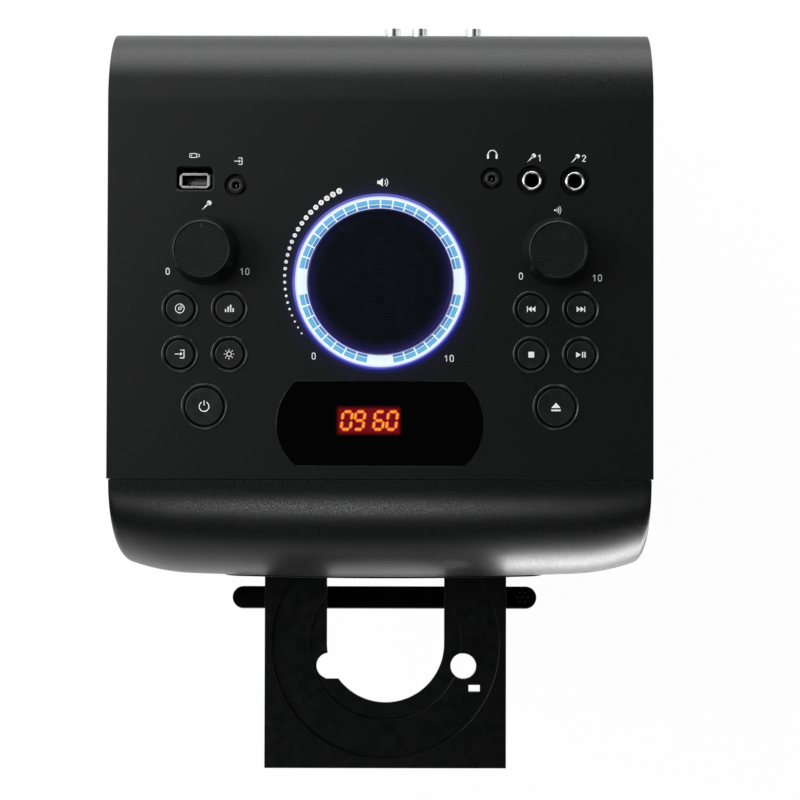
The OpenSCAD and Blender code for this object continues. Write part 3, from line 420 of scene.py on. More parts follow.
combine(casing, joined([
    slab(long_round(0, SLOT_Z, RIM_W - RIM_FIT, RIM_H - RIM_FIT, 20), -110, -81, "Y"),
    slab(circle(0, WOOFER_Z, WOOFER_HOLE_R, 96), -90, -70, "Y"),
], "openings"))
combine(casing, joined([
    slab(box(x - NOTCH_HALF, NOTCH_LOW, x + NOTCH_HALF, NOTCH_HIGH), -110, -79, "Y") for x in (-ARM_X, ARM_X)
], "arm_notches"))
casing_mesh = casing.data
bpy.data.objects.remove(casing)

ears = []
for side in (-1, 1):
    for y0, y1, z0, z1 in EAR_BARS:
        ears.append(slab(box(side * EAR_X - EAR_HALF, y0, side * EAR_X + EAR_HALF, y1), z0, z1))
    for z in LUG_ZS:
        foot = box(side * LUG_X - LUG_HALF, SEAM_Y - LUG_LONG, side * LUG_X + LUG_HALF, SEAM_Y)
        ears.append(slab(foot, z - LUG_TALL, z + LUG_TALL))
casing_plastic = surface("casing_plastic", (0.0033, 0.004, 0.0037), 0.36, grain=0.45, depth=0.014, worn=0.3,
                         specular=0.4, sparkle=0.5)
front_shell = piece("front_shell", joined([casing_mesh, *ears], "front_shell"), casing_plastic, "cabinet",
                    "casing_black", "front_casing")
soften(front_shell, 0.35, 2, 38)

# Top cover. The long flat control panel and the rolled rear edge in one black ABS moulding, overhanging
# the walls below by almost a millimetre all round. Its grain is finer than the cabinet's.
cover_plastic = surface("cover_plastic", (0.0034, 0.0042, 0.0038), 0.4, depth=0.035, worn=0.25, specular=0.34,
                        sparkle=0.45)
cover = piece("cover_shell", cast_from("top_cover"), cover_plastic, "cabinet", "cover_black", "top_cover",
              "control_panel")
combine(cover, cast_from("control_panel"), "UNION")
soften(cover, 0.35)


# Panel print. White tampo ink straight on the plastic: plain pictograms and end numbers, and the dots
# round the large knob that grow with the volume. The ink stands a few hundredths proud.
PANEL_Z = 340
INK_T = 0.03
RING_Y = 60.1


def band(points, width):
    """Strokes as quads, one for each stretch of a line of points, with a small overlap at the bends."""
    half = width / 2
    quads = []
    for (x0, y0), (x1, y1) in zip(points, points[1:]):
        length = math.hypot(x1 - x0, y1 - y0)
        dx, dy = (x1 - x0) / length, (y1 - y0) / length
        lap = half * 0.35
        x0, y0, x1, y1 = x0 - dx * lap, y0 - dy * lap, x1 + dx * lap, y1 + dy * lap
        quads.append([(x0 + dy * half, y0 - dx * half), (x1 + dy * half, y1 - dx * half),
                      (x1 - dy * half, y1 + dx * half), (x0 - dy * half, y0 + dx * half)])
    return quads


def hoop(x, y, r, width, steps=24, start=0.0, end=360.0):
    """A drawn circle or arc, as quads that meet exactly."""
    quads = []
    for i in range(steps):
        a = math.radians(start + (end - start) * i / steps)
        b = math.radians(start + (end - start) * (i + 1) / steps)
        quads.append([(x + (r + s * width / 2) * math.cos(t), y + (r + s * width / 2) * math.sin(t))
                      for s, t in ((-1, a), (1, a), (1, b), (-1, b))])
    return quads


def numeral(text, x, y, height, width=0.42):
    """Plain end numbers drawn as strokes: 0, 1, 2 and 10."""
    strokes = []
    w = height * 0.52
    at = x - (len(text) - 1) * height * 0.42
    for digit in text:
        if digit == "0":
            r = w / 2
            top, low = y + height / 2 - r, y - height / 2 + r
            strokes += hoop(at, top, r, width, 12, 0, 180) + hoop(at, low, r, width, 12, 180, 360)
            strokes += band([(at - r, low), (at - r, top)], width) + band([(at + r, low), (at + r, top)], width)
        elif digit == "1":
            strokes += band([(at, y - height / 2), (at, y + height / 2)], width)
            strokes += band([(at - w * 0.5, y + height * 0.25), (at, y + height / 2)], width)
        else:
            r = w / 2
            strokes += hoop(at, y + height / 2 - r, r, width, 14, -20, 180)
            strokes += band([(at + r * 0.94, y + height / 2 - r * 1.34), (at - r, y - height / 2)], width)
            strokes += band([(at - r, y - height / 2), (at + r, y - height / 2)], width)
        at += height * 0.84
    return strokes


def moved(shapes, x, y, scale):
    """Drawn shapes, scaled and moved to a place."""
    return [[(x + px * scale, y + py * scale) for px, py in shape] for shape in shapes]


def microphone():
    """A ball-topped hand microphone, leaning."""
    shapes = [circle(1.1, 1.1, 1.25, 20), [(0.35, 1.0), (1.0, 0.35), (-1.6, -1.9), (-1.9, -1.6)]]
    return shapes + band([(-0.1, 1.45), (1.45, -0.1)], 0.28) + band([(-1.9, -1.9), (-2.5, -2.35858)], 0.3)


def loudspeaker():
    shapes = [box(-2.4, -0.8, -1.3, 0.8), [(-1.3, -0.8), (0.2, -2), (0.2, 2), (-1.3, 0.8)]]
    return shapes + hoop(0.2, 0, 1.3, 0.38, 10, -50, 50) + hoop(0.2, 0, 2.3, 0.38, 12, -50, 50)


def headphones():
    shapes = hoop(0, -0.2, 1.9, 0.42, 20, 0, 180)
    for s in (-1, 1):
        shapes.append([(s * 1.5, -2.0), (s * 2.35, -2.0), (s * 2.35, 0.1), (s * 1.5, 0.1)][::s])
    return shapes


def into_box():
    shapes = band([(0.2, 2.0), (2.3, 2.0), (2.3, -2.0), (0.2, -2.0)], 0.42) + band([(-2.4, 0), (0.6, 0)], 0.42)
    return shapes + [[(0.3, -1.0), (1.5, 0), (0.3, 1.0)]]


def memory_stick():
    shapes = band([(-2.6, -1.0), (0.9, -1.0), (0.9, 1.0), (-2.6, 1.0), (-2.6, -1.0)], 0.36)
    shapes += band([(0.9, -0.65), (2.4, -0.65), (2.4, 0.65), (0.9, 0.65)], 0.3)
    return shapes + [circle(-1.7, 0, 0.32, 10)]


def echo_waves():
    shapes = [circle(-2.2, 0, 0.5, 14)]
    for i, r in enumerate((1.3, 2.4, 3.5)):
        shapes += hoop(-2.2, 0, r, 0.42 - 0.07 * i, 10, -42, 42)
    return shapes


def print_on(shapes, top, thickness=INK_T):
    """Ink shapes as thin solids whose upper face lies at the height that top(x, y) gives."""
    work = bmesh.new()
    for shape in shapes:
        area = sum(a[0] * b[1] - b[0] * a[1] for a, b in zip(shape, shape[1:] + shape[:1]))
        outline = shape if area > 0 else shape[::-1]
        upper = [work.verts.new((x * MM, y * MM, (top(x, y) + thickness) * MM)) for x, y in outline]
        lower = [work.verts.new((x * MM, y * MM, (top(x, y) - 0.05) * MM)) for x, y in outline]
        work.faces.new(upper)
        work.faces.new(lower[::-1])
        for i in range(len(outline)):
            j = (i + 1) % len(outline)
            work.faces.new((lower[i], lower[j], upper[j], upper[i]))
    return finished(work, "print")


def flat_panel(x, y):
    return PANEL_Z


white_ink = surface("white_ink", (0.97, 0.97, 0.97), 0.6, grain=0.2, depth=0.004, mottle=0.06)
panel_print = []
for drawing, x, y, scale in (
    (memory_stick(), -91.3, 121.9, 0.95), (into_box(), -69.9, 119.2, 0.8), (microphone(), -85.2, 97.6, 0.95),
    (loudspeaker(), 0.9, 108.9, 1.05), (headphones(), 54.8, 122.9, 1.1), (microphone(), 74.2, 121.2, 0.85),
    (microphone(), 95.8, 121.0, 0.85), (echo_waves(), 87.4, 95.4, 0.85),
):
    panel_print += moved(drawing, x, y, scale)
NUMERAL_TALL = 3
for text, x, y in (("0", -104.3, 65.0), ("10", -66.5, 65.0), ("0", -32.6, 23.6), ("10", 33.8, 22.6),
                   ("0", 68.9, 63.0), ("10", 106.4, 62.2), ("1", 78.2, 121.1), ("2", 99.8, 120.9)):
    panel_print += numeral(text, x, y, NUMERAL_TALL)
piece("panel_print", print_on(panel_print, flat_panel), white_ink, "cabinet", "cover_black")


def pattern(name, tree, sizes):
    """Grows a Geometry Nodes pattern with the given sizes and returns it as a plain mesh."""
    carrier = bpy.data.objects.new(name, bpy.data.meshes.new(name))
    bpy.context.collection.objects.link(carrier)
    growth = carrier.modifiers.new("pattern", "NODES")
    growth.node_group = tree
    for item in tree.interface.items_tree:
        if item.item_type == "SOCKET" and item.in_out == "INPUT" and item.name in sizes:
            growth[item.identifier] = sizes[item.name]
    bpy.context.view_layer.update()
    made = bpy.data.meshes.new_from_object(carrier.evaluated_get(bpy.context.evaluated_depsgraph_get()))
    bpy.data.objects.remove(carrier)
    return made


def new_pattern(name, **sizes):
    """An empty Geometry Nodes tree with named inputs; returns it with its inputs' sockets and its last node."""
    tree = bpy.data.node_groups.new(name, "GeometryNodeTree")
    for label, start in sizes.items():
        kind = "NodeSocketInt" if isinstance(start, int) else "NodeSocketFloat"
        tree.interface.new_socket(name=label, in_out="INPUT", socket_type=kind).default_value = start
    tree.interface.new_socket(name="Geometry", in_out="OUTPUT", socket_type="NodeSocketGeometry")
    return tree, tree.nodes.new("NodeGroupInput").outputs, tree.nodes.new("NodeGroupOutput")


def end_pattern(tree, last, material, out):
    """Every pattern is worked out in millimetres and ends in real geometry in metres with its material set."""
    shrunk = add_node(tree, "GeometryNodeTransform", {"Geometry": last, "Scale": (MM, MM, MM)})
    real = add_node(tree, "GeometryNodeRealizeInstances", {0: shrunk})
    feed(tree, out, {0: add_node(tree, "GeometryNodeSetMaterial", {"Geometry": real, "Material": material})})
    return tree


def on_circle(tree, radius, angle, height):
    """A place at a radius and an angle about the large knob's axis."""
    return add_node(tree, "ShaderNodeCombineXYZ", {
        0: reckon(tree, "MULTIPLY", radius, reckon(tree, "COSINE", angle)),
        1: reckon(tree, "ADD", reckon(tree, "MULTIPLY", radius, reckon(tree, "SINE", angle)), RING_Y), 2: height})


def growing_dots(material):
    """Dots on an arc that opens as it goes round, each a little wider than the last."""
    tree, given, out = new_pattern("growing_dots", Count=25, First=0.0, Step=0.1, Near=45.0, Far=48.5, Small=0.4,
                                   Large=1.3, Height=340.0)
    index = tree.nodes.new("GeometryNodeInputIndex")
    share = reckon(tree, "DIVIDE", index, reckon(tree, "SUBTRACT", given["Count"], 1))
    angle = reckon(tree, "SUBTRACT", given["First"], reckon(tree, "MULTIPLY", index, given["Step"]))
    opening = reckon(tree, "SUBTRACT", given["Far"], given["Near"])
    spread = reckon(tree, "MULTIPLY", opening, reckon(tree, "POWER", share, 1.4))
    spot = on_circle(tree, reckon(tree, "ADD", given["Near"], spread), angle, given["Height"])
    points = add_node(tree, "GeometryNodePoints", {"Count": given["Count"], "Position": spot})
    dot = add_node(tree, "GeometryNodeMeshCylinder", {"Vertices": 20, "Radius": 1.0, "Depth": 0.06})
    more = reckon(tree, "MULTIPLY", share, reckon(tree, "SUBTRACT", given["Large"], given["Small"]))
    wide = reckon(tree, "ADD", given["Small"], more)
    size = add_node(tree, "ShaderNodeCombineXYZ", {0: wide, 1: wide, 2: 1.0})
    place = add_node(tree, "GeometryNodeInstanceOnPoints", {"Points": points, "Instance": dot, "Scale": size})
    return end_pattern(tree, place, material, out)


grey_ink = surface("grey_ink", (0.3, 0.3, 0.3), 0.6, grain=0.2, depth=0.004, mottle=0.06)
DOTS_LEFT = -0.75
dot_sizes = {"Count": 25, "First": math.radians(213.8), "Step": math.radians(4.17), "Near": 45.5, "Far": 48.6}
for name, ink, small, large, lift in (
    ("volume_dots", white_ink, 0.42, 1.45, 0.0), ("dot_rings", grey_ink, 0.05, 0.55, 0.02),
    ("dot_hearts", white_ink, 0.02, 0.33, 0.04),
):
    dots = pattern(name, growing_dots(ink), {**dot_sizes, "Small": small, "Large": large, "Height": PANEL_Z + lift})
    dots.transform(Matrix.Translation((DOTS_LEFT * MM, 0, 0)))
    piece(name, dots, None, "cabinet", "cover_black")

# Slot frame. A separate glossy black trim round the disc slot, bowed like the front and a little proud
# of it, held from inside by the casing.
frame_gloss = surface("frame_gloss", (0.003, 0.003, 0.0032), 0.28, grain=0.6, depth=0.003, worn=0.15)
from_node("slot_frame", "slot_trim", frame_gloss, "cabinet", 0.3)

# Tray door. The lip that closes the slot, hinged below it on two arms; out here it hangs under the open
# tray. Satin black, with seven pin holes for a lamp near its right end and a smoky lens behind them.
door_satin = surface("door_satin", (0.0006, 0.0007, 0.0006), 0.32, depth=0.006, worn=0.1, specular=0.08)
from_node("tray_door", "door_lip", door_satin, "door", 0.25)
HINGE_Y = -86.7
DOOR_OPEN = 75
LENS_X, LENS_Y, LENS_R, LENS_HALF = 74.8, -92.0, 3.9, 0.3
lens = slab(circle(LENS_X, SLOT_Z, LENS_R, 32), LENS_Y - LENS_HALF, LENS_Y + LENS_HALF, "Y")
hinge = Matrix.Translation(Vector((0, HINGE_Y, HINGE_Z)) * MM)
lens.transform(hinge @ Matrix.Rotation(math.radians(DOOR_OPEN), 4, "X") @ hinge.inverted())
lens_smoke = surface("lens_smoke", (0.06, 0.06, 0.06), 0.3, grain=0.4, depth=0.002)
piece("door_lens", lens, lens_smoke, "door", "door_black")

# Disc tray. Black satin ABS with two disc steps, the long opening for the pickup, finger recesses and a
# moulded rack under its left side.
tray_satin = surface("tray_satin", (0.0016, 0.002, 0.0018), 0.34, grain=0.6, depth=0.006, worn=0.3, specular=0.25)
from_node("disc_tray", "tray_plate", tray_satin, "tray", 0.3)


# Loudspeaker grille. Pressed steel with a close hexagonal field of round holes and a plain rolled rim,
# painted satin black and hooked into the baffle.
def hexagonal(tree, given, lead):
    """Places on a hexagonal grid, kept inside a radius; lead shifts them back by that share of half a pitch."""
    pitch, columns, rows = given["Pitch"], given["Columns"], given["Rows"]
    step = reckon(tree, "MULTIPLY", pitch, math.sqrt(3) / 2)
    sheet = add_node(tree, "GeometryNodeMeshGrid", {
        0: reckon(tree, "MULTIPLY", pitch, reckon(tree, "SUBTRACT", columns, 1)),
        1: reckon(tree, "MULTIPLY", step, reckon(tree, "SUBTRACT", rows, 1)), 2: columns, 3: rows})
    index = tree.nodes.new("GeometryNodeInputIndex")
    odd = reckon(tree, "MODULO", reckon(tree, "MODULO", index, rows), 2)
    slide = reckon(tree, "MULTIPLY", reckon(tree, "SUBTRACT", odd, lead), reckon(tree, "MULTIPLY", pitch, 0.5))
    shift = add_node(tree, "ShaderNodeCombineXYZ", {0: slide})
    offset = add_node(tree, "GeometryNodeSetPosition", {"Geometry": sheet, "Offset": shift})
    where = tree.nodes.new("GeometryNodeInputPosition")
    far = add_node(tree, "ShaderNodeVectorMath", {0: where}, operation="LENGTH").outputs["Value"]
    outside = reckon(tree, "GREATER_THAN", far, given["Radius"])
    return add_node(tree, "GeometryNodeDeleteGeometry", {"Geometry": offset, "Selection": outside}, domain="POINT")


def hole_field(material):
    """A field of six-sided tiles, each with a round hole, that meet without a gap."""
    tree, given, out = new_pattern("hole_field", Pitch=4.4, Hole=1.5, Radius=85.5, Columns=42, Rows=47)
    cell_r = reckon(tree, "DIVIDE", given["Pitch"], math.sqrt(3))
    cell = add_node(tree, "GeometryNodeCurvePrimitiveCircle", {"Resolution": 6, "Radius": cell_r})
    upright = add_node(tree, "GeometryNodeTransform", {"Geometry": cell, "Rotation": (0, 0, math.pi / 6)})
    hole = add_node(tree, "GeometryNodeCurvePrimitiveCircle", {"Resolution": 12, "Radius": given["Hole"]})
    both = add_node(tree, "GeometryNodeJoinGeometry", {0: upright})
    feed(tree, both, {0: hole})
    tile = add_node(tree, "GeometryNodeFillCurve", {0: both}, mode="TRIANGLES")
    place = add_node(tree, "GeometryNodeInstanceOnPoints", {"Points": hexagonal(tree, given, 0), "Instance": tile})
    real = add_node(tree, "GeometryNodeRealizeInstances", {0: place})
    weld = add_node(tree, "GeometryNodeMergeByDistance", {"Geometry": real, "Distance": 0.02})
    return end_pattern(tree, weld, material, out)


GRILLE_R = 90
GRILLE_FRONT = BAFFLE_Y - 4.5
SHEET_T, SHEET_BACK = 0.8, 0.4
grille_paint = surface("grille_paint", (0.014, 0.0142, 0.015), 0.4, grain=0.35, depth=0.006)
field = pattern("grille_field", hole_field(grille_paint), {})
field.transform(Matrix.Rotation(math.pi / 2, 4, "X"))
field.transform(Matrix.Translation(Vector((0, GRILLE_FRONT + SHEET_BACK, WOOFER_Z)) * MM))
gauge = piece("grille_sheet", field, None, "cabinet", "grille_paint").modifiers.new("gauge", "SOLIDIFY")
gauge.thickness = SHEET_T * MM
gauge.offset = 0


def loft(loops, name):
    """A closed tube through loops of (outline, height), the last joined to the first."""
    work = bmesh.new()
    rings = [[work.verts.new((x * MM, y * MM, z * MM)) for x, y in outline] for outline, z in loops]
    for a, b in zip(rings, rings[1:] + rings[:1]):
        for i in range(len(a)):
            j = (i + 1) % len(a)
            work.faces.new((a[i], a[j], b[j], b[i]))
    bmesh.ops.recalc_face_normals(work, faces=work.faces)
    return finished(work, name)


def turned(profile, steps=96):
    """A closed profile of (radius, height) points in millimetres, turned about the Z axis."""
    return loft([(circle(0, 0, r, steps), z) for r, z in profile], "turned")


def stood(mesh, x, y, z, tilt=0):
    """Moves a turned mesh to its place; tilt is an angle about the X axis in degrees."""
    turn = Matrix.Rotation(math.radians(tilt), 4, "X")
    mesh.transform(Matrix.Translation((x * MM, y * MM, z * MM)) @ turn)
    return mesh


rim = turned([(84, 0.4), (84.5, -0.4), (87.5, -0.6), (89, 0), (GRILLE_R, 1.4), (GRILLE_R, 4.5), (88.6, 4.5),
              (88.6, 1.8), (87, 0.8), (84.6, 0.8)], 128)
grille_rim = stood(rim, 0, GRILLE_FRONT + 0.6, WOOFER_Z, -90)
piece("grille_rim", grille_rim, grille_paint, "cabinet", "grille_paint", "speaker_grille").data.shade_smooth()

# Push buttons. Moulded caps that stand in satin collars pressed into the panel, each over a tact switch.
# The caps are charcoal with a shallow dish and white pictograms, the collars shine round them.
collar_gloss = surface("collar_gloss", (0.02, 0.0205, 0.022), 0.2, grain=0.7, depth=0.012, specular=0.6, worn=0.35)
from_node("button_bezels", "button_collars", collar_gloss, "cabinet", 0.12)
cap_satin = surface("cap_satin", (0.0062, 0.0068, 0.0068), 0.42, grain=0.4, worn=0.2, specular=0.4)
CAP_MARKS = {
    "mode": hoop(0, 0, 2.3, 0.4) + hoop(0, 0, 0.7, 0.4, 14) + hoop(0, 0, 1.5, 0.3, 8, 20, 80),
    "tone": [box(x, -1.8, x + 0.7, top) for x, top in ((-2.2, -0.2), (-0.9, 1.0), (0.4, 2.0), (1.7, 0.2))],
    "source": into_box(),
    "light": hoop(0, 0, 1.2, 0.4, 20) + [
        ray for start, end in zip(circle(0, 0, 1.9, 8), circle(0, 0, 2.6, 8)) for ray in band([start, end], 0.36)],
    "power": hoop(0, 0, 2.5, 0.5, 28, 120, 420) + band([(0, 0.6), (0, 3.1)], 0.5),
    "previous": [box(-2.3, -1.5, -1.8, 1.5), [(-1.7, 0), (0.2, -1.5), (0.2, 1.5)], [(0.2, 0), (2.1, -1.5), (2.1, 1.5)]],
    "next": [box(1.8, -1.5, 2.3, 1.5), [(1.7, 0), (-0.2, 1.5), (-0.2, -1.5)], [(-0.2, 0), (-2.1, 1.5), (-2.1, -1.5)]],
    "stop": [box(-1.5, -1.5, 1.5, 1.5)],
    "play": [[(-2.4, -1.5), (0.1, 0), (-2.4, 1.5)], box(0.7, -1.5, 1.3, 1.5), box(1.9, -1.5, 2.5, 1.5)],
    "eject": [[(-2.4, -0.4), (2.4, -0.4), (0, 2.3)], box(-2.4, -2.0, 2.4, -1.2)],
}
CAP_TOP = 341.1
CAP_DISH = 0.25
SMALL_R, LARGE_R = 6.8, 9.15
CAPS = (("mode", -98.2, 46.8, SMALL_R), ("tone", -74.0, 46.8, SMALL_R), ("source", -98.2, 24.5, SMALL_R),
        ("light", -74.0, 24.5, SMALL_R), ("power", -86.1, -1.2, LARGE_R), ("previous", 74.0, 46.8, SMALL_R),
        ("next", 98.2, 46.8, SMALL_R), ("stop", 74.0, 24.5, SMALL_R), ("play", 98.2, 24.5, SMALL_R),
        ("eject", 86.1, -1.2, LARGE_R))


def dish_of(cap_x, cap_y, cap_r):
    """The height of a cap's dished face, as a function of the place on it."""
    return lambda x, y: CAP_TOP - CAP_DISH * (1 - math.hypot(x - cap_x, y - cap_y) / (cap_r - 0.5))


for label, x, y, r in CAPS:
    from_node("button_" + label, "cap_" + label, cap_satin, "key_" + label, 0.1)
    mark = print_on(moved(CAP_MARKS[label], x, y, 0.95), dish_of(x, y, r))
    piece("mark_" + label, mark, white_ink, "key_" + label, "button_black")

# Light ring. A clear frosted ring over white lamps, moulded with two rows of window cells; it glows
# blue-white, with a violet fringe outside, and burns out to plain white over four of its lamps.
def round_place(tree):
    """The shaded point's distance from the large knob's axis, in metres, and its X and Y from it."""
    place = add_node(tree, "ShaderNodeTexCoord").outputs["Object"]
    centred = add_node(tree, "ShaderNodeMapping", {
        "Vector": place, "Location": (0, -RING_Y * MM, 0), "Scale": (1, 1, 0)})
    far = add_node(tree, "ShaderNodeVectorMath", {0: centred}, operation="LENGTH").outputs["Value"]
    return far, add_node(tree, "ShaderNodeSeparateXYZ", {0: centred}).outputs


def radial_light(material, stops, noise_amount=0.0):
    """Makes a finish give off light whose colour runs through stops of (radius in mm, colour)."""
    tree = material.node_tree
    far, _ = round_place(tree)
    light = ramp(tree, far, [(radius * MM, colour) for radius, colour in stops])
    shade = add_node(tree, "ShaderNodeTexNoise", {"Scale": 260.0, "Detail": 2.0})
    wash = add_node(tree, "ShaderNodeMapRange", {
        "Value": shade, "From Min": 0.3, "From Max": 0.7, "To Min": 1 - noise_amount})
    dimmed = add_node(tree, "ShaderNodeVectorMath", {0: light, "Scale": wash}, operation="SCALE")
    feed(tree, tree.nodes["Principled BSDF"], {"Emission Color": dimmed, "Emission Strength": 1.0})


def glow(name, stops, base, noise_amount):
    """Clear plastic lit from below."""
    material = bpy.data.materials.new(name)
    material.use_nodes = True
    feed(material.node_tree, material.node_tree.nodes["Principled BSDF"], {"Base Color": (*base, 1), "Roughness": 0.3})
    radial_light(material, stops, noise_amount)
    return material


# Painted light: the ring's violet-blue spill on the panel round it is painted into the cover's finish as emission,
# fading out by 53 mm from the ring's axis.
radial_light(cover_plastic, [
    (43.1, (0.014, 0.014, 0.2)), (44.0, (0.006, 0.006, 0.06)), (45.5, (0.002, 0.002, 0.012)), (53.0, (0, 0, 0)),
])
ring_light = glow("ring_light", [
    (36.0, (0.3, 0.3, 0.95)), (36.4, (0.85, 0.93, 1.0)), (38.0, (0.8, 0.97, 1.0)), (40.4, (0.93, 1.0, 1.0)),
    (41.5, (0.75, 0.85, 1.0)), (42.0, (0.16, 0.18, 0.8)), (42.6, (0.03, 0.03, 0.42)), (43.3, (0.012, 0.012, 0.17)),
], (0.02, 0.022, 0.03), 0.08)
from_node("light_ring", "ring_lens", ring_light, "cabinet", 0.1)
cell_light = glow("cell_light", [
    (36.2, (0.07, 0.16, 0.5)), (37.4, (0.09, 0.3, 0.62)), (37.9, (0.12, 0.42, 0.74)), (39.2, (0.17, 0.54, 0.82)),
    (40.2, (0.14, 0.46, 0.8)),
], (0.02, 0.05, 0.1), 0.3)
BURNT_OUT = ((169, 186), (348, 361), (-1, 6), (257, 277))


def ring_cells(material):
    """Window cells set round a ring at an even pitch, left out where a lamp burns out to white."""
    tree, given, out = new_pattern("ring_cells", Count=40, Radius=39.05, Wide=2.2, Long=5.35, Height=341.31)
    index = tree.nodes.new("GeometryNodeInputIndex")
    turns = reckon(tree, "DIVIDE", reckon(tree, "ADD", index, 0.5), given["Count"])
    angle = reckon(tree, "MULTIPLY", turns, 2 * math.pi)
    spot = on_circle(tree, given["Radius"], angle, given["Height"])
    points = add_node(tree, "GeometryNodePoints", {"Count": given["Count"], "Position": spot})
    burnt = 0
    for start, end in BURNT_OUT:
        after = reckon(tree, "GREATER_THAN", angle, math.radians(start))
        before = reckon(tree, "LESS_THAN", angle, math.radians(end))
        burnt = reckon(tree, "MAXIMUM", burnt, reckon(tree, "MULTIPLY", after, before))
    kept = add_node(tree, "GeometryNodeDeleteGeometry", {"Geometry": points, "Selection": burnt}, domain="POINT")
    size = add_node(tree, "ShaderNodeCombineXYZ", {0: given["Wide"], 1: given["Long"], 2: 0.1})
    plate = add_node(tree, "GeometryNodeMeshCube", {"Size": size})
    where = tree.nodes.new("GeometryNodeInputPosition")
    level = add_node(tree, "ShaderNodeVectorMath", {0: where, 1: (0, RING_Y, 0)}, operation="SUBTRACT")
    flat = add_node(tree, "ShaderNodeVectorMath", {0: level, 1: (1, 1, 0)}, operation="MULTIPLY")
    aim = add_node(tree, "FunctionNodeAlignRotationToVector", {"Vector": flat}, axis="X", pivot_axis="Z")
    place = add_node(tree, "GeometryNodeInstanceOnPoints", {"Points": kept, "Instance": plate, "Rotation": aim})
    return end_pattern(tree, place, material, out)


cells = ring_cells(cell_light)
outer_cells = pattern("outer_cells", cells, {"Radius": 39.05, "Wide": 2.2, "Long": 5.35})
inner_cells = pattern("inner_cells", cells, {"Radius": 36.95, "Wide": 1.3, "Long": 5.05})
piece("ring_cells", joined([outer_cells, inner_cells], "ring_cells"), cell_light, "cabinet", "ring_clear")

# Master volume knob. A wide navy-black cap with a mesh of fine dots under its satin top; the violet light
# of the ring below is painted into its edge as emission.
MASTER_TOP = 345.6


def night_cap(name):
    """Near-black, with a painted violet glow of the ring's light that gathers towards the rim, most at the front and
    the sides.
    """
    material = surface(name, (0.0006, 0.0022, 0.0042), 0.38, grain=0.5, depth=0.006, specular=0.12)
    tree = material.node_tree
    far, sides = round_place(tree)
    near_rim = add_node(tree, "ShaderNodeMapRange", {"Value": far, "From Min": 28 * MM, "From Max": 36 * MM})
    side = add_node(tree, "ShaderNodeMapRange", {
        "Value": reckon(tree, "DIVIDE", sides["Y"], far), "From Min": 1.0, "From Max": -0.4,
        "To Min": 0.12})
    # Painted light: the share of painted violet glow, strongest near the rim and towards the front and sides.
    painted_glow_share = reckon(tree, "MULTIPLY", reckon(tree, "POWER", near_rim, 2), side)
    violet = mix(tree, painted_glow_share, (0, 0, 0, 1), (0.022, 0.015, 0.12, 1))
    feed(tree, tree.nodes["Principled BSDF"], {"Emission Color": violet, "Emission Strength": 1.0})
    return material


from_node("master_knob", "master_cap", night_cap("night_cap"), "master_volume", 0.15, 3)


def dot_field(material):
    """Small raised dots on a hexagonal grid."""
    tree, given, out = new_pattern("dot_field", Pitch=1.2, Dot=0.3, Radius=32.6, Tall=0.1, Columns=58, Rows=66,
                                   Sides=6)
    dot = add_node(tree, "GeometryNodeMeshCone", {
        "Vertices": given["Sides"], "Radius Bottom": given["Dot"], "Depth": given["Tall"],
        "Radius Top": reckon(tree, "MULTIPLY", given["Dot"], 0.7)})
    place = add_node(tree, "GeometryNodeInstanceOnPoints", {"Points": hexagonal(tree, given, 0.5), "Instance": dot})
    return end_pattern(tree, place, material, out)


mesh_dots = surface("mesh_dots", (0.0035, 0.0085, 0.014), 0.5, grain=0.3, depth=0.004, specular=0.2)
master_mesh = pattern("master_mesh", dot_field(mesh_dots), {})
piece("master_mesh", stood(master_mesh, 0, RING_Y, MASTER_TOP + 0.02), None, "master_volume", "master_black")

# Small knobs. Tapered black knobs on the echo and microphone level controls, with a diamond field moulded
# in the top, a polished rim and one notch that shows the setting.
KNOB_Y = 75.2
KNOB_TOP = 356.2
knob_satin = surface("knob_satin", (0.0018, 0.002, 0.002), 0.42, grain=0.5, depth=0.008, worn=0.2, specular=0.3)
rim_polish = surface("rim_polish", (0.75, 0.75, 0.75), 0.16, metallic=1.0, grain=0.4, depth=0.003)
field_grey = surface("field_grey", (0.022, 0.027, 0.026), 0.4, grain=0.3, depth=0.004, specular=0.35)
diamonds = dot_field(field_grey)
RIM_PROFILE = ((13.25, 0.05), (13.28, 0.48), (13.37, 0.58), (13.46, 0.5), (13.5, 0.2), (13.5, 0.05))
NOTCH_IN, NOTCH_OUT = 10.2, 12.4
for name, node_name, body, x in (
    ("mic_level", "mic_volume_knob", "mic_volume", -86.1), ("echo_level", "echo_knob", "echo", 86.1),
):
    from_node(node_name, name + "_knob", knob_satin, body, 0.2, 3)
    top = pattern(name + "_field", diamonds, {
        "Pitch": 1.05, "Dot": 0.42, "Radius": 12.9, "Tall": 0.2, "Columns": 28, "Rows": 32, "Sides": 4})
    piece(name + "_field", stood(top, x, KNOB_Y, KNOB_TOP + 0.08), None, body, "knob_black")
    ring = stood(turned(RIM_PROFILE), x, KNOB_Y, KNOB_TOP)
    piece(name + "_rim", ring, rim_polish, body, "knob_black").data.shade_smooth()
    notch = slab(box(x - 0.25, KNOB_Y + NOTCH_IN, x + 0.25, KNOB_Y + NOTCH_OUT), KNOB_TOP - 0.1, KNOB_TOP + 0.4)
    piece(name + "_notch", notch, rim_polish, body, "knob_black")

# Display. A black glass-clear acrylic window set flush in the panel, with a four-digit red-orange lamp
# display behind it. The segments lie at the window's face, each as three lights one over the other, the
# widest and darkest lowest, and a painted haze of their light lies on the window round them.
WINDOW_Y = -9.4
WINDOW_TOP = 340.2
DIGITS, DIGIT_XS, DIGIT_Y = "0960", (-16.3, -10.1, -0.5, 5.9), -7.9
window_gloss = surface("window_gloss", (0.0012, 0.0012, 0.0014), 0.06, grain=2.0, depth=0.0004, mottle=0.05)
from_node("display_window", "window_pane", window_gloss, "cabinet", 0.15, 3)


